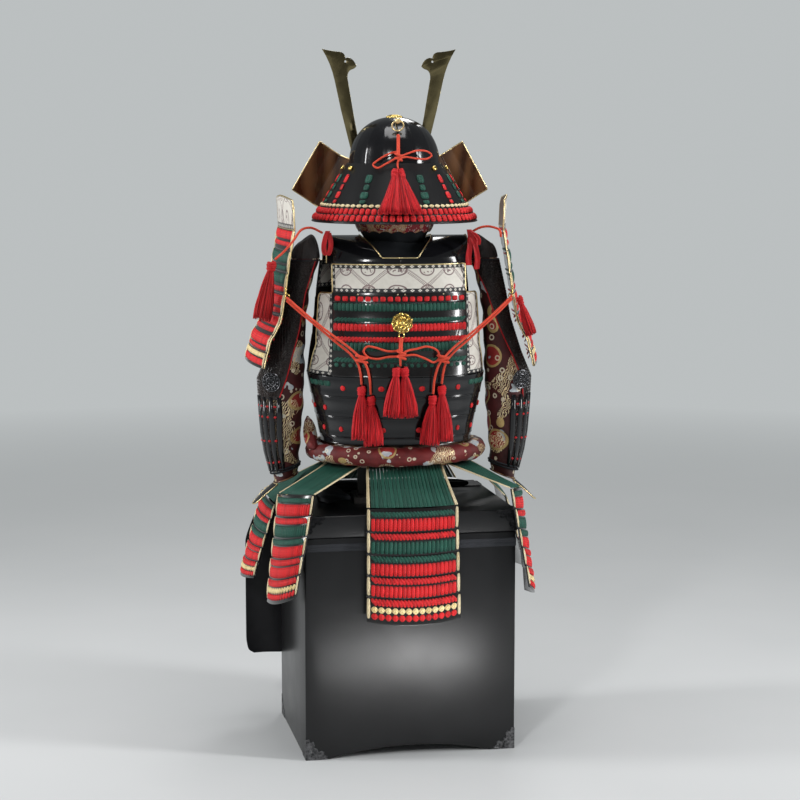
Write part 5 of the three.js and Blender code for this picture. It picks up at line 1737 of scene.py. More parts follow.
def tasset(name, node, spec, side, width, count):
    """One laced skirt plate: five black lames under rows of silk, braided down both edges."""
    surface = tasset_face(spec, side)
    bare = Skin(surface, 0.01, 0.01, (0, 0, 400), turned=False)
    rows = []
    across = np.linspace(0, 1, 33)
    for k, (a, b) in enumerate(zip(TASSET_LAMES[:-1], TASSET_LAMES[1:])):
        o = TASSET_THICK + TASSET_STEP * k
        curve = 0.0
        for v, d in ((a + (0.002 if k else 0), -0.4), (a + 0.006, 0), (0.5 * (a + b), 0), (b - 0.02, 0.0), (b - 0.008, 0.5), (b - 0.001, 0.3)):
            rows.append(bare.points(across, np.full(33, v), o + d + curve))
    obj = sheet_grid(f"{name}_lames", rows, turned=False)
    facing(obj, (0, 0))
    apply(obj, "SOLIDIFY", thickness=0.0034, offset=-1)
    smooth(obj, 30)
    dress(obj, M["black_plate"], node, slot="laced_lames")
    skin = Skin(surface, 0.01, 0.01, (0, 0, 400), tasset_offset, turned=False)
    l, r = 0.045, 0.955
    long = count

    def at(v0, v1):
        return (v0 + v1) / 2, v1 - v0

    def band(mark, shape, n, v0, v1, out, fill, material):
        mid, high = at(v0, v1)
        inset = 0.012 if shape is TWIST else 0.0
        lay(f"{name}_{mark}", skin, shape, row(n, l + inset, r - inset, mid, high, out, fill), material, slot="laced_lames", lift=0.1)

    band("green_twist_a", TWIST, long + 4, 0.024, 0.072, 2.8, 1.25, M["green"])
    band("red_a", LACE, long, 0.084, 0.193, 2.8, 0.96, M["red"])
    band("red_twist_a", TWIST, long + 4, 0.212, 0.268, 2.9, 1.25, M["red_twist"])
    band("green_a", LACE, long, 0.282, 0.388, 2.8, 0.96, M["green"])
    band("green_twist_b", TWIST, long + 4, 0.407, 0.462, 2.8, 1.25, M["green"])
    band("red_b", LACE, long, 0.474, 0.578, 2.8, 0.96, M["red"])
    band("red_twist_b", TWIST, long + 4, 0.594, 0.65, 2.9, 1.25, M["red_twist"])
    band("red_c", LACE, long, 0.664, 0.762, 2.8, 0.96, M["red"])
    band("red_twist_c", TWIST, long + 4, 0.78, 0.842, 2.9, 1.25, M["red_twist"])
    knots_n = max(9, int(round(width / 16)))
    band("yellow_knots", BEAD, knots_n, 0.851, 0.905, 3.0, 0.93, M["yellow"])
    band("red_knots", BEAD, knots_n, 0.909, 0.966, 3.0, 0.93, M["red"])
    edges, dark = [], []
    for v0, v1 in ((0.0, 0.19), (0.205, 0.388), (0.405, 0.578), (0.594, 0.762), (0.78, 0.965)):
        for u in (0.02, 0.98):
            edges.append((u, 0.034, (v0 + v1) / 2, v1 - v0 - 0.006, 3.2))
    lay(f"{name}_edge_braids", skin, LACE, edges, M["cream"], slot="gilt_metal", lift=0.1)
    del dark


for kind, width, count in (("rear", 192, 19), ("side", 156, 16), ("front", 192, 19)):
    for mark, side in (("L", 1), ("R", -1)):
        tasset(f"{kind}_tasset_{mark}", f"tasset_{kind}_{mark}", TASSETS[kind], side, width, count)
        hanger(f"{kind}_hanger_{mark}", TASSETS[kind], side, count)
tasset("back_tasset", "tasset_back", TASSETS["back"], 1, 208, 20)
hanger("back_hanger", TASSETS["back"], 1, 21)

# ---------------------------------------------------------------- shoulder guards


def sode_offset(z):
    tops = np.array(SODE_LAMES, float)
    k = np.clip(np.searchsorted(-tops, -np.asarray(z, float), side="right") - 1, 0, 6)
    return 3 + 1.5 * k


def shoulder_guard(mark, side):
    surface = sode_face(side)
    bare = Skin(surface, 0.01, 1.0, (0, 0, 1000))
    across = np.linspace(0, 1, 41)
    rows = []
    for k, (a, b) in enumerate(zip(SODE_LAMES[:-1], SODE_LAMES[1:])):
        o = 3 + 1.5 * k
        for z, d in ((a - (0.4 if k else 0), -0.4), (a - 1.6, 0), ((a + b) / 2, 0), (b + 4, 0), (b + 1.6, 0.5), (b + 0.3, 0.3)):
            rows.append(bare.points(across, np.full(41, z), o + d))
    obj = sheet_grid(f"guard_lames_{mark}", rows)
    walled(obj, 3.2)
    smooth(obj, 30)
    dress(obj, M["black_plate"], f"sode_{mark}", slot="laced_lames")
    skin = Skin(surface, 0.01, 1.0, (0, 0, 1000), sode_offset)
    n = 22
    plan = [
        ("red_top", LACE, n, 1185, 1166, "red"), ("red_twist_top", TWIST, n + 5, 1160, 1150, "red_twist"),
        ("green_a", LACE, n, 1137, 1113, "green"), ("green_twist_a", TWIST, n + 5, 1107, 1096, "green"),
        ("green_b", LACE, n, 1089, 1066, "green"), ("red_twist_b", TWIST, n + 5, 1060, 1049, "red_twist"),
        ("red_c", LACE, n, 1041, 1018, "red"), ("red_twist_c", TWIST, n + 5, 1012, 1001, "red_twist"),
        ("red_d", LACE, n, 993, 970, "red"), ("red_twist_d", TWIST, n + 5, 965, 955, "red_twist"),
        ("red_e", LACE, n, 947, 928, "red"), ("red_twist_e", TWIST, n + 5, 924, 915, "red_twist"),
        ("yellow", LACE, n, 910, 899, "yellow"), ("red_f", LACE, n, 896, 882, "red"),
    ]
    for label, shape, count_, high, low, key in plan:
        inset = 0.012 if shape is TWIST else 0.0
        fill = 1.25 if shape is TWIST else 0.96
        cells = row(count_, 0.04 + inset, 0.96 - inset, (high + low) / 2, high - low, 2.7, fill)
        lay(f"guard_{label}_{mark}", skin, shape, cells, M[key], slot="laced_lames", lift=0.1)
    edges = []
    for a, b in zip(SODE_LAMES[:-1], SODE_LAMES[1:]):
        for u in (0.017, 0.983):
            edges.append((u, 0.03, (a + b) / 2, a - b - 2, 3.2))
    lay(f"guard_edge_braids_{mark}", skin, LACE, edges, M["cream"], slot="gilt_metal", lift=0.1)
    under = Skin(surface, 0.01, 1.0, (side * 600, 0, 1000))
    bars, green_bars = [], []
    for k, z in enumerate(SODE_LAMES[:-1]):
        (green_bars if k in (1, 2) else bars).append((0.5, 0.9, z - 7, 5.0, 1.2))
        (green_bars if k in (2,) else bars).append((0.5, 0.86, z - 17, 3.5, 1.0))
    lay(f"guard_inner_red_{mark}", under, BAR, bars, M["red"], slot="laced_lames", lift=0.1)
    lay(f"guard_inner_green_{mark}", under, BAR, green_bars, M["green"], slot="laced_lames", lift=0.1)
    rim = np.array([bare.points(np.array([0.0]), np.array([z]), 1.5 + 0.75 * sode_offset(z) - 1.5)[0] for z in np.linspace(1187, 877, 60)])
    tube(f"guard_rear_rim_{mark}", rim + [0, 0.4, 0], 1.5, M["gilt"], 7, slot="gilt_metal")
    plate(mark, side)


def bar_shape(x, y, z):
    return (x, y, 0.6 + 0.4 * (1 - (2 * y) ** 2) if z > 0.4 else 0.0)


BAR = shaped("bar", 3, bar_shape)


def plate(mark, side):
    """The plate that heads a guard: printed leather outside, figured leather inside, gilt all round."""
    surface = sode_face(side)
    rows = []
    for z, width, lean in ((1188.4, 1, 0), (1212, 1, 1), (1236, 1, 2), (1247, 0.97, 3), (1254, 0.93, 3.6), (1258, 0.885, 4)):
        u = np.linspace(0, 1, 33)
        base = surface(u, np.full(33, 1188.0))
        x = base[:, 0] + side * lean
        y = width * (115 - 230 * u)
        share = (z - 1236) / 22 if z > 1236 else 0
        rows.append(np.stack([x, y, z + share * (8 * np.sin(np.pi * u) - 4)], -1))
    rows = np.array(rows)[::-1]
    inner = sheet_grid(f"guard_plate_inner_{mark}", rows)
    walled(inner, 0.1)
    bpy.data.objects.remove(inner)
    back = sheet_grid(f"guard_plate_inner_{mark}", rows + [side * 1.4, 0, 0])
    facing(back, (0, 0))
    apply(back, "SOLIDIFY", thickness=0.0014, offset=-1)
    smooth(back, 30)
    dress(back, M["wood"], f"sode_plate_{mark}", slot="brown_leather")
    front = sheet_grid(f"guard_plate_outer_{mark}", rows + [side * 3.0, 0, 0])
    facing(front, (0, 0))
    apply(front, "SOLIDIFY", thickness=0.0015, offset=-1)
    smooth(front, 30)
    dress(front, M["plate_print"], slot="printed_leather")
    loop = np.concatenate([rows[0], rows[1:, -1], rows[-1][::-1][1:], rows[:-1, 0][::-1]]) + [side * 1.5, 0, 0]
    tube(f"guard_plate_rim_{mark}", loop, 1.9, M["gilt"], 8, closed=True, slot="gilt_metal")


for mark, side in (("L", 1), ("R", -1)):
    shoulder_guard(mark, side)


def guard_fitting(mark, side):
    """The gilt plate and ring at a guard's rear edge, where the cords are tied."""
    parts = []
    x = side * 255.0
    t = np.linspace(0, 2 * np.pi, 29)[:-1]
    for k in range(5):
        a = 2 * math.pi * k / 5
        path = np.stack([x + side * 0.6 + 0 * t, 117.5 + 5.5 * math.cos(a) + 4.2 * np.cos(t), 1048 + 8 * math.sin(a) + 4.6 * np.sin(t)], -1)
        path[:, 1] = 117 + (path[:, 1] - 117) * 0.45
        parts.append(tube(f"fitting_loop_{mark}_{k}", path, 1.5, None, 6, closed=True, slot=False))
    ring = np.stack([x - side * 3 + 4.5 * np.cos(t), 119 + 2.0 * np.sin(t), 1040 + 6 * np.sin(t)], -1)
    parts.append(tube(f"fitting_ring_{mark}", ring, 1.2, None, 6, closed=True, slot=False))
    merged(f"guard_fitting_{mark}", parts, M["gilt_cast"], slot="gilt_metal")


guard_fitting("L", 1)
guard_fitting("R", -1)

# ---------------------------------------------------------------- sleeves and hand guards


def mail_edge(side, z):
    """How far round a sleeve its mail reaches at a height: the two arms are turned differently."""
    reach = (1.35, 1.62, 1.72, 1.95, 2.2) if side > 0 else (0.85, 0.95, 1.1, 1.5, 2.5)
    return float(np.interp(z, (806, 846, 900, 960, 1112), reach))


def sleeve_head(mark, side):
    """The sleeve's sloping head, of mail on cloth, that runs in under the shoulder plate."""
    angles = np.linspace(0, 2 * np.pi, 61)
    low = sleeve_at(side, angles, 1121.0, 0.4)
    high = np.stack([side * (205 + 13 * np.cos(angles)), SLEEVE_Y + 34 * np.sin(angles), 1164 - 10 * np.cos(angles)], -1)
    rows = []
    for k in np.linspace(0, 1, 15):
        ease = math.sin(k * math.pi / 2)
        ring = low + (high - low) * np.array([k**1.3, ease * 0.8, ease])
        rows.append(ring + 1.2 * np.stack([np.cos(9 * angles), 0 * angles, 0.4 * np.sin(7 * angles)], -1) * math.sin(k * math.pi))
    rows.append(rows[-1] * 0.2 + rows[-1].mean(0) * 0.8)
    obj = sheet_grid(f"sleeve_head_{mark}", rows, closed=True)
    outwards(obj)
    smooth(obj, 60)
    dress(obj, M["mail"], slot="black_lacquer")


def sleeve(mark, side):
    """A tube of brocade; mail, an elbow disc and long splints are sewn on its outer and rear sides."""
    zs = np.linspace(1122, 613, 74)
    angles = np.linspace(0, 2 * np.pi, 81)
    rows = []
    for z in zs:
        crease = 1.6 * np.sin(z / 7.5 + 2.2 * np.cos(angles)) * (0.4 + 0.6 * np.abs(np.sin(z / 61.0 + angles)))
        crease = crease + 1.1 * np.sin(z / 13.0 - 3 * angles + 1.0)
        rows.append(sleeve_at(side, angles, z, -1.8 + crease * 0.8))
    obj = sheet_grid(f"sleeve_cloth_{mark}", rows, closed=True)
    walled(obj, 2.4, centre=(float(place([(side * 245, 8, 0)])[0][0]), float(place([(side * 245, 8, 0)])[0][1])))
    smooth(obj, 60)
    dress(obj, M["brocade"], f"sleeve_{mark}", slot="brocade")
    skin = Skin(lambda t, z: sleeve_at(side, t, z), 0.01, 1.0, (side * 245, SLEEVE_Y, 860))
    ground = []
    for z in np.linspace(1116, 800, 64):
        ground.append(skin.points(np.linspace(-2.3, mail_edge(side, z) + 0.08, 41), np.full(41, z), 0.5))
    backing = sheet_grid(f"sleeve_mail_ground_{mark}", ground)
    facing(backing, (side * 245, SLEEVE_Y))
    apply(backing, "SOLIDIFY", thickness=0.0006, offset=-1)
    smooth(backing, 60)
    dress(backing, M["mail"], slot="black_lacquer")
    links = []
    for k in range(48):
        z = 1112 - k * 6.4
        lo, hi = -2.2, mail_edge(side, z)
        _, half_x, half_y = [np.interp(-z, -SLEEVE[:, 0], SLEEVE[:, c]) for c in (1, 2, 3)]
        girth = (half_x + half_y) / 2
        step = 8.2 / girth
        n = int((hi - lo) / step)
        for j in range(n):
            t = lo + (j + 0.5 * (k % 2) + 0.25) * step
            if math.hypot((t - ELBOW[0]) * 52, z - ELBOW[1]) < 22:
                continue
            links.append((t, step * 1.02, z, 8.2, 3.0))
    lay(f"sleeve_mail_{mark}", skin, LINK, links, M["mail_link"], slot="black_lacquer", lift=0.2)
    splints = []
    for t in np.linspace(-1.6, 1.42, 9):
        splints.append((t, 0.29, 722, 168, 3.4))
    lay(f"sleeve_splints_{mark}", skin, SPLINT, splints, M["black"], slot="black_lacquer", lift=0.6)
    chain = []
    for k in range(30):
        z = 800 - k * 5.2
        for t in np.linspace(-1.41, 1.23, 8):
            chain.append((t + 0.02 * (k % 2), 0.11, z, 5.6, 2.0))
    lay(f"sleeve_chain_{mark}", skin, LINK, chain, M["mail_link"], slot="black_lacquer", lift=0.2)
    bits = [(t, 0.16, z, 5, 2.6) for t in np.linspace(-1.41, 1.23, 8) for z in (784, 760, 706, 658)]
    lay(f"sleeve_red_ties_{mark}", skin, BEAD, bits, M["red_twist"], slot="laced_lames", lift=1.2)
    elbow(mark, side, skin)
    parts = []
    for z, w in ((640, 4.2), (634, 4.0), (1116, 3.6)):
        ring = sleeve_at(side, np.linspace(0, 2 * np.pi, 61)[:-1], z, 1.4)
        parts.append(tube(f"wrist_tie_{mark}_{z}", ring, w / 2, None, 7, closed=True, slot=False))
    merged(f"sleeve_ties_{mark}", parts, M["black_cloth"], slot="black_cloth")
    ring = sleeve_at(side, np.linspace(0, 2 * np.pi, 81)[:-1], 613.5, 0.2)
    tube(f"sleeve_hem_{mark}", ring, 1.8, M["wood"], 8, closed=True, slot="brown_leather")
    for name, lo in (("rear", 1.34),):
        edge = [mail_edge(side, z) + 0.1 for z in np.linspace(1118, 800, 60)]
        path = np.array([sleeve_at(side, t, z, 1.0) for t, z in zip(edge, np.linspace(1118, 800, 60))])
        tube(f"sleeve_{name}_piping_{mark}", path, 1.5, M["ribbon"], 7, slot="red_ribbon")


def link_shape():
    """A small flat mail link."""
    deselect()
    bpy.ops.mesh.primitive_torus_add(major_radius=0.36, minor_radius=0.15, major_segments=6, minor_segments=3)
    obj = bpy.context.object
    for vertex in obj.data.vertices:
        vertex.co = (vertex.co.x, vertex.co.y, 0.5 + vertex.co.z * 3.2)
    return template("link")


LINK = link_shape()
SPLINT = shaped("splint", 3, lambda x, y, z: (
    x * (1 - 0.35 * (2 * abs(y)) ** 3), y, (0.45 + 0.55 * (1 - (2 * x) ** 2)) if z > 0.4 else 0.1 * (z + 0.5)))
ELBOW = (1.12, 842)
M["mail_link"] = lacquer("mail_link_lacquer", (0.006, 0.004, 0.004), (0.03, 0.017, 0.013), (0.16, 0.4), 0.5)


def elbow(mark, side, skin):
    """The studded elbow disc: a dished plate, a rolled rim and a ring of beads."""
    centre_t, centre_z = ELBOW
    here = skin.points(np.array([centre_t]), np.array([centre_z]), 3.0)[0]
    n = skin.points(np.array([centre_t]), np.array([centre_z]), 4.0)[0] - here
    up = np.array([0, 0, 1.0])
    a = np.cross(up, n)
    a /= np.linalg.norm(a)
    b = np.cross(n, a)
    angles = np.linspace(0, 2 * np.pi, 49)
    rows = []
    for r, h in ((0.01, -0.4), (6, 0.0), (11, 1.4), (14, 1.2), (20.5, 0.2)):
        rows.append(here + np.outer(r * np.cos(angles), a) + np.outer(r * np.sin(angles), b) + h * n)
    dish = sheet_grid(f"elbow_disc_{mark}", rows, closed=True)
    apply(dish, "SOLIDIFY", thickness=0.0015, offset=0)
    smooth(dish, 40)
    dress(dish, M["guard"], slot="black_lacquer")
    parts = []
    for r, w, h in ((21.0, 1.8, 0.8), (11.5, 1.5, 2.6)):
        ring = here + np.outer(r * np.cos(angles[:-1]), a) + np.outer(r * np.sin(angles[:-1]), b) + h * n
        parts.append(tube(f"elbow_ring_{mark}_{r}", ring, w, None, 7, closed=True, slot=False))
    for k in range(13):
        t = 2 * math.pi * k / 13
        spot = here + 16.5 * (math.cos(t) * a + math.sin(t) * b) + 2.2 * n
        small = angles[::8][:-1]
        bead_path = spot + np.outer(1.2 * np.cos(small), a) + np.outer(1.2 * np.sin(small), b)
        parts.append(tube(f"elbow_bead_{mark}_{k}", bead_path, 2.0, None, 7, closed=True, slot=False))
    for k in range(6):
        t = 2 * math.pi * k / 6
        spot = here + 5.5 * (math.cos(t) * a + math.sin(t) * b) + 2.8 * n
        small = angles[::8][:-1]
        petal = spot + np.outer(2.6 * np.cos(small), a) + np.outer(2.6 * np.sin(small), b)
        parts.append(tube(f"elbow_petal_{mark}_{k}", petal, 0.9, None, 6, closed=True, slot=False))
    merged(f"elbow_studs_{mark}", parts, M["studs"], slot="black_lacquer")


def hand_guard(mark, side):
    """The lacquered plate over the back of the hand, with a gilt edge."""
    rows = []
    cols = np.linspace(-1, 1, 33)
    for down in np.linspace(0, 1, 19):
        half = 28 + 6 * math.sin(math.pi * (0.15 + 0.6 * down))
        half *= 1 - 0.12 * max(0, (down - 0.85) / 0.15) - 0.1 * max(0, (0.1 - down) / 0.1)
        x = 282 + 49 * down - 8 * cols**2 + 2.5 * math.sin(math.pi * down)
        rows.append(np.stack([side * x, SLEEVE_Y + half * cols, 602 - 48 * down + 6 * down * cols**2], -1))
    rows = np.array(rows)
    obj = sheet_grid(f"hand_guard_plate_{mark}", rows)
    up = sum(p.normal.z * p.area for p in obj.data.polygons)
    if up < 0:
        obj.data.flip_normals()
    apply(obj, "SOLIDIFY", thickness=0.0024, offset=-1)
    smooth(obj, 35)
    dress(obj, M["black"], f"hand_guard_{mark}", slot="black_lacquer")
    loop = np.concatenate([rows[0], rows[1:, -1], rows[-1][::-1][1:], rows[:-1, 0][::-1]]) + [0, 0, -0.6]
    tube(f"hand_guard_rim_{mark}", loop, 1.4, M["gilt"], 7, closed=True, slot="gilt_metal")


for mark, side in (("L", 1), ("R", -1)):
    sleeve(mark, side)
    sleeve_head(mark, side)
    hand_guard(mark, side)

# ---------------------------------------------------------------- helmet


def bowl():
    """The lacquered bowl, its plates meeting in faint upright ridges."""
    around = np.linspace(0, 2 * np.pi, 193)
    ridge = 0.7 * np.exp(-((np.mod(around * 16 / (2 * np.pi) + 0.5, 1.0) - 0.5) * 14) ** 2 / 2)
    rows = []
    profile = [(BOWL["base"] + 0.2, 1.0, 1.0), (BOWL["base"] + 4, 1.0, 1.0)]
    for t in np.radians(np.linspace(0, 84.5, 34)):
        c, s = math.cos(t) ** (2 / BOWL["power"]), math.sin(t) ** (2 / BOWL["power"])
        profile.append((BOWL["spring"] + (BOWL["top"] - BOWL["spring"]) * s, c, 1.0))
    for z, c, _ in profile:
        lift = ridge * min(1.0, c * 1.6)
        rows.append(np.stack([(BOWL["x"] * c + lift) * np.sin(around), (BOWL["y"] * c + lift) * np.cos(around), np.full(193, z)], -1))
    obj = sheet_grid("helmet_bowl_shell", rows, closed=True)
    walled(obj, 3.0)
    smooth(obj, 30)
    dress(obj, M["black"], "helmet_bowl", slot="black_lacquer")
    parts = []
    t = np.linspace(0, 2 * np.pi, 49)[:-1]
    for r, h, w in ((17, 1439.2, 1.6), (12.5, 1441.5, 2.2), (8.5, 1443.4, 1.6)):
        scallop = r * (1 + 0.05 * np.cos(12 * t))
        parts.append(tube(f"crown_ring_{r}", np.stack([scallop * np.sin(t), scallop * 1.08 * np.cos(t), h + 0 * t], -1), w, None, 7, closed=True, slot=False))
    for k in range(12):
        a = 2 * math.pi * k / 12
        s = t[::4]
        px = 14.6 * math.sin(a) + 2.6 * np.cos(s)
        py = 15.6 * math.cos(a) + 2.6 * np.sin(s)
        parts.append(tube(f"crown_petal_{k}", np.stack([px, py, 1441 + 0 * s], -1), 1.2, None, 6, closed=True, slot=False))
    merged("helmet_crown_ring", parts, M["gilt_cast"], slot="gilt_metal")


bowl()


def neck_guard():
    angles = np.linspace(-NECK["spread"], NECK["spread"], 121)
    rows = []
    skin = Skin(neck_face, 0.5, 0.005, (0, 0, 1400))

    def at(v, out):
        return neck_face(angles, np.full(121, v)) + out * np.stack([np.sin(np.radians(angles)), np.cos(np.radians(angles)), 0 * angles], -1)

    for v in np.linspace(0, 0.7, 22):
        rows.append(at(v, 4 * NECK_STEP * v))
    for a, b in ((0.712, 0.77), (0.782, 0.865), (0.877, 1.0)):
        for v, d in ((a, -0.2), (a + 0.012, 0.5), ((a + b) / 2, 0.5), (b - 0.012, 0.5), (b, 0.1)):
            rows.append(at(v, 4 * NECK_STEP * v + d))
    obj = sheet_grid("neck_guard_lames", rows)
    walled(obj, 3.2)
    smooth(obj, 30)
    dress(obj, M["guard"], "neck_guard", slot="black_lacquer")
    offset = Skin(neck_face, 0.5, 0.005, (0, 0, 1200), lambda v: 4 * NECK_STEP * np.asarray(v, float) + 0.4)
    red, green = [], []
    spans = [(0.2, 0.335), (0.365, 0.46), (0.49, 0.60), (0.625, 0.685)]
    for v0, v1 in spans:
        wide = 1.15 if (v0, v1) in (spans[0], spans[2]) else 0.85
        for cells, across, angles_here in ((red, 5.2, (62, -46, 97, -84)), (green, 6.4, (32, -20, 80, -66))):
            for a in angles_here:
                cells.append((a, across * wide, (v0 + v1) / 2, v1 - v0, 2.3))
    lay("neck_guard_red_lacing", offset, LACE, red, M["red"], slot="laced_lames", lift=0.2)
    lay("neck_guard_green_lacing", offset, LACE, green, M["green"], slot="laced_lames", lift=0.2)
    lay("neck_guard_beads", offset, BEAD, row(46, -120, 120, 0.725, 0.05, 3.2, 0.86), M["bead"], slot="gilt_metal", lift=0.2)
    lay("neck_guard_red_knots_a", offset, LACE, row(52, -120, 120, 0.820, 0.092, 4.4, 0.8), M["red"], slot="laced_lames", lift=0.2)
    lay("neck_guard_red_knots_b", offset, LACE, row(50, -120, 120, 0.932, 0.098, 4.4, 0.8), M["red"], slot="laced_lames", lift=0.2)
    rivets = [(a, 7.2, 0.1, 0.08, 3.6) for a in (63, -43, 100, -86)]
    lay("neck_guard_rivets", offset, STUD, rivets, M["gilt_cast"], slot="gilt_metal", lift=0.2)
    edge = [neck_face(np.array([a]), np.array([0.995]))[0] * 1 for a in np.linspace(-NECK["spread"], NECK["spread"], 120)]
    edge = np.array(edge)
    edge[:, :2] *= 1 + 4.2 / np.linalg.norm(edge[:, :2], axis=1, keepdims=True)
    edge[:, 2] += 0.8
    tube("neck_guard_edge", edge, 1.6, M["guard"], 8, slot="black_lacquer")
    del skin


M["bead"] = silk("cream_knot", (0.45, 0.33, 0.12), (0.95, 0.84, 0.55), 2.0, 3.0)
neck_guard()


def turn_back(mark, side):
    """The turned-back end of the neck guard: printed leather to the front, figured leather behind, gilt edge."""
    edges = np.array(
        [
            [(88, -78, 1340), (118, -86, 1352), (142, -82, 1368), (166, -72, 1384)],
            [(118, -96, 1282), (150, -101, 1296), (174, -95, 1312), (198, -84, 1328)],
            [(148, -112, 1222), (180, -115, 1240), (204, -108, 1257), (229, -97, 1273)],
        ],
        float,
    )
    fine = []
    for v in np.linspace(0, 1, 15):
        line = edges[0] * (1 - v) * (1 - 2 * v) + edges[1] * 4 * v * (1 - v) + edges[2] * v * (2 * v - 1)
        u = np.linspace(0, 3, 31)
        low = np.minimum(u.astype(int), 2)
        blend = (u - low)[:, None]
        bend = np.where(np.abs(u - 1)[:, None] < 0.001, 0, 0)
        fine.append(line[low] * (1 - blend) + line[low + 1] * blend + bend)
    rows = np.array(fine) * [side, 1, 1]
    sheets = {}
    for label, shift, key in (("rear", 0.0, "wood"), ("front", -2.0, "turn_print")):
        obj = sheet_grid(f"turnback_{label}_{mark}", rows + [0, shift, 0])
        toward = sum(p.normal.y * p.area for p in obj.data.polygons)
        if (toward < 0) == (label == "rear"):
            obj.data.flip_normals()
        apply(obj, "SOLIDIFY", thickness=0.0008, offset=-1)
        smooth(obj, 30)
        sheets[label] = dress(obj, M[key], *([f"fukigaeshi_{mark}"] if label == "rear" else []), slot="brown_leather" if label == "rear" else "printed_leather")
    loop = np.concatenate([rows[0], rows[1:, -1], rows[-1][::-1][1:], rows[:-1, 0][::-1]]) + [0, -1.2, 0]
    tube(f"turnback_rim_{mark}", loop, 1.7, M["gilt"], 8, closed=True, slot="gilt_metal")
    fold = rows[:, 10] + [0, 0.3, 0]
    tube(f"turnback_fold_{mark}", fold, 0.9, M["wood"], 6, slot="brown_leather")


def brow():
    """The peak and the gilt base plate of the crest."""
    half = math.radians(50)
    t = np.linspace(-half, half, 41)
    rows = []
    for hx, hy, z in catmull([(105, 119, 1338), (118, 138, 1333), (134, 162, 1318)], 12):
        rows.append(np.stack([hx * np.sin(t), -hy * np.cos(t), z + 0 * t], -1))
    rows = np.array(rows)
    peak = sheet_grid("helmet_peak", rows)
    up = sum(p.normal.z * p.area for p in peak.data.polygons)
    if up < 0:
        peak.data.flip_normals()
    apply(peak, "SOLIDIFY", thickness=0.003, offset=-1)
    smooth(peak, 30)
    dress(peak, M["plate_print"], "helmet_brow", slot="printed_leather")
    edge = rows[-1] + [0, 0, -1.4]
    tube("helmet_peak_rim", edge, 2.0, M["gilt"], 8, slot="gilt_metal")
    curve = []
    for a, m, b in (((-92, 1331), (-98, 1362), (-80, 1372)), ((-80, 1372), (-40, 1378), (0, 1400)), ((0, 1400), (40, 1378), (80, 1372)), ((80, 1372), (98, 1362), (92, 1331))):
        for s in np.linspace(0, 1, 13)[:-1]:
            curve.append([(1 - s) ** 2 * a[k] + 2 * s * (1 - s) * m[k] + s * s * b[k] for k in (0, 1)])
    curve.append([92, 1331])
    deselect()
    bpy.ops.mesh.primitive_circle_add(vertices=len(curve), radius=50, fill_type="NGON")
    obj = bpy.context.object
    obj.name = "crest_base_plate"
    world = place([(px, -126, pz) for px, pz in curve])
    obj.data.vertices.foreach_set("co", world.ravel())
    obj.data.update()
    if obj.data.polygons[0].normal.y > 0:
        obj.data.flip_normals()
    bpy.ops.object.mode_set(mode="EDIT")
    bpy.ops.mesh.select_all(action="SELECT")
    bpy.ops.mesh.inset(thickness=0.0035)
    bpy.ops.object.mode_set(mode="OBJECT")
    apply(obj, "SOLIDIFY", thickness=0.0036, offset=-1)
    apply(obj, "BEVEL", width=0.0007, segments=2, limit_method="ANGLE", angle_limit=math.radians(50))
    dress(smooth(obj, 30), M["gilt_cast"], slot="gilt_metal")


brow()
for mark, side in (("L", 1), ("R", -1)):
    turn_back(mark, side)
    horn = from_cad(f"crest_horn_{mark}", f"horn_{mark}", 0.5, 2)
    dress(horn, M["brass"], f"horn_{mark}", slot="aged_brass")


def helmet_ring():
    """The ring on its stud at the back of the bowl, from which the helmet cord hangs."""
    t = np.linspace(0, 2 * np.pi, 49)[:-1]
    tilt = math.radians(62)
    x, y = 13 * np.cos(t), 13 * np.sin(t)
    ring = np.stack([2 + x, 98 + y * math.cos(tilt), 1419 + y * math.sin(tilt)], -1)
    ring_mesh = tube("ring_loop", ring, 1.8, None, 10, closed=True, slot=False)
    deselect()
    bpy.ops.mesh.primitive_uv_sphere_add(segments=20, ring_count=12, radius=1)
    stud = bpy.context.object
    pts = np.array([v.co[:] for v in stud.data.vertices])
    stud.data.vertices.foreach_set("co", place(np.stack([2 + pts[:, 0] * 7.5, 100 + pts[:, 1] * 6, 1430 + pts[:, 2] * 7], -1)).ravel())
    staple = tube("ring_staple", catmull([(2, 56, 1424), (2, 78, 1430), (2, 100, 1430)], 12), 3.2, None, 10, slot=False)
    obj = merged("helmet_ring_and_stud", [ring_mesh, stud, staple], M["gilt"], "helmet_ring", slot="gilt_metal")
    smooth(obj, 50)


helmet_ring()

# ---------------------------------------------------------------- thigh apron


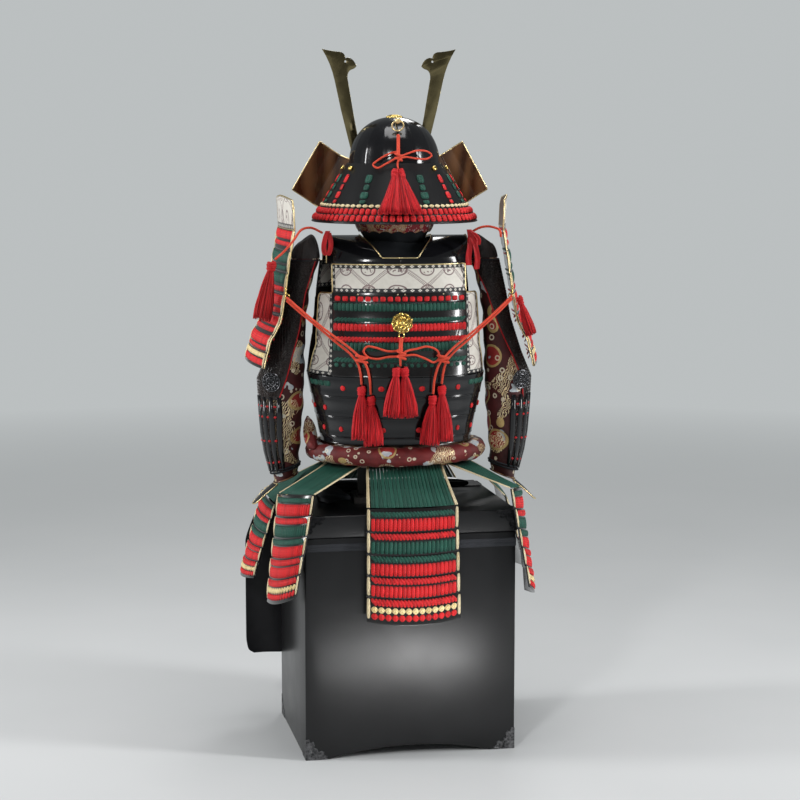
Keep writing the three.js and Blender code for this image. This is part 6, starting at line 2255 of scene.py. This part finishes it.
def apron_panel(mark, node, near, far, far_on_lid):
    """One panel: laid on the lid, folded over its front edge and hanging in soft folds."""
    lid_z, face = LID["top"] + 0.9, -LID["y"] - 1.2
    profile = [(-118, lid_z, 0), (-140, lid_z, 0), (-160, lid_z, 0), (-185, lid_z, 0), (face + 2, lid_z, 0), (face - 0.6, lid_z - 2.5, 0.0)]
    profile += [(face, z, s) for z, s in ((540, 0.22), (520, 0.5), (500, 0.7), (465, 0.88), (430, 1), (390, 1), (350, 1), (300, 1), (250, 1), (215, 1), (190, 1), (172, 0.975), (160, 0.93), (152.5, 0.8))]
    line = catmull([(y, z, s * 100) for y, z, s in profile], 70)
    across = np.linspace(0, 1, 61)
    rows = []
    for y, z, s in line:
        end = far_on_lid + (far - far_on_lid) * np.clip(s / 100, 0, 1)
        hang = np.clip((LID["top"] - z) / 260, 0, 1)
        fold = 3.4 * hang * (1 + np.sin(across * 15 + 0.6 * np.sin(z / 70.0))) * (0.4 + 0.6 * across)
        lift = 0.7 * (1 - hang) * (1 + np.sin(across * 11))
        z_here = min(z, lid_z + 0.4) if y > face else z
        height = max(z_here, 152.2) + (lift if y > face + 3 else 0 * across)
        rows.append(np.stack([near + (end - near) * across, y - fold, height], -1))
    rows = np.array(rows)
    obj = sheet_grid(f"apron_cloth_{mark}", rows, turned=False)
    lower = sum(p.normal.y * p.area for p in obj.data.polygons)
    if lower > 0:
        obj.data.flip_normals()
    apply(obj, "SOLIDIFY", thickness=0.0016, offset=1)
    smooth(obj, 50)
    dress(obj, M["gloss_cloth"], node, slot="black_cloth")
    border = np.concatenate([rows[14:, -1], rows[-1][::-1][1:]]) + [0, -1.0, 0.6]
    tube(f"apron_binding_{mark}", border, 1.7, M["black_cloth"], 7, turned=False, slot="black_cloth")


apron_panel("L", "apron_L", 44, 325, 236)
apron_panel("R", "apron_R", 36, -240, -236)


def apron_waist():
    """The apron's waist cloth, bunched on the lid behind its panels."""
    route = np.array(
        [
            (-197, -84, 573, 2, 2), (-196, -84, 573, 12, 9), (-190, -84, 574, 19, 13), (-60, -88, 574, 19, 13),
            (80, -86, 574, 19, 13), (140, -62, 575, 19, 14), (166, -10, 578, 19, 17), (160, 42, 582, 21, 21),
            (138, 80, 584, 19, 23), (122, 98, 580, 9, 10), (121, 99, 580, 1.5, 2),
        ],
        float,
    )
    count = 90
    path = catmull(route[:, :3], count)
    share = np.linspace(0, len(route) - 1, count)
    half, rise = [np.interp(share, np.arange(len(route)), route[:, c]) for c in (3, 4)]
    tangent = np.gradient(path, axis=0)
    side = np.stack([tangent[:, 1], -tangent[:, 0], 0 * tangent[:, 0]], -1)
    side /= np.linalg.norm(side, axis=1, keepdims=True)
    angles = np.linspace(0, 2 * np.pi, 49)
    rows = []
    for k in range(count):
        crease = 1 + 0.09 * np.sin(7 * angles + k * 0.13) + 0.05 * np.sin(11 * angles - k * 0.21)
        ring = path[k] + np.outer(half[k] * crease * np.cos(angles), side[k]) + np.outer(rise[k] * crease * np.sin(angles), [0, 0, 1])
        ring[:, 2] = np.maximum(ring[:, 2], 559.6)
        rows.append(ring)
    obj = sheet_grid("apron_waist_cloth", rows, turned=False, closed=True)
    bpy.context.view_layer.objects.active = obj
    bpy.ops.object.mode_set(mode="EDIT")
    bpy.ops.mesh.select_all(action="SELECT")
    bpy.ops.mesh.fill_holes(sides=0)
    bpy.ops.object.mode_set(mode="OBJECT")
    outwards(obj)
    smooth(obj, 60)
    dress(obj, M["black_cloth"], "apron_waist", slot="black_cloth")


apron_waist()

# ---------------------------------------------------------------- ribbons


def ribbon(name, node, path, width, spread=1.0):
    """A flat silk ribbon along a path, its width lying across the body."""
    line = catmull(path, 60)
    rows = []
    for k, (x, y, z) in enumerate(line):
        grow = 1 + (spread - 1) * k / 59
        shares = np.linspace(-0.5, 0.5, 9)
        cup = 0.9 * np.cos(shares * math.pi * 2 + k * 0.08)
        rows.append(np.stack([x + width * grow * shares, y + cup, z + 0 * shares], -1))
    obj = sheet_grid(name, rows)
    apply(obj, "SOLIDIFY", thickness=0.0007, offset=0)
    smooth(obj, 60)
    dress(obj, M["ribbon"], *([node] if node else []), slot="red_ribbon")
    return obj


ribbon("shoulder_ribbon_L", "ribbon_L", [(160, 110, 1186), (166, 115, 1172), (170, 117, 1152), (168, 117, 1136), (162, 116, 1132), (157, 113, 1140), (154, 111, 1158), (158, 108, 1182)], 11)
ribbon("shoulder_ribbon_R", "ribbon_R", [(-158, 110, 1188), (-160, 115, 1170), (-159, 118, 1150), (-156, 117, 1128), (-157, 116, 1108)], 11, 1.25)
ribbon("shoulder_ribbon_R_tail", None, [(-162, 112, 1186), (-167, 118, 1168), (-172, 120, 1148), (-176, 118, 1124), (-174, 117, 1099)], 10, 1.3)
ribbon("shoulder_ribbon_R_loop", None, [(-160, 112, 1184), (-168, 120, 1180), (-178, 121, 1166), (-176, 120, 1154), (-168, 119, 1158), (-161, 117, 1172)], 10)

# ---------------------------------------------------------------- colour handling

bpy.context.scene.view_settings.view_transform = "Standard"
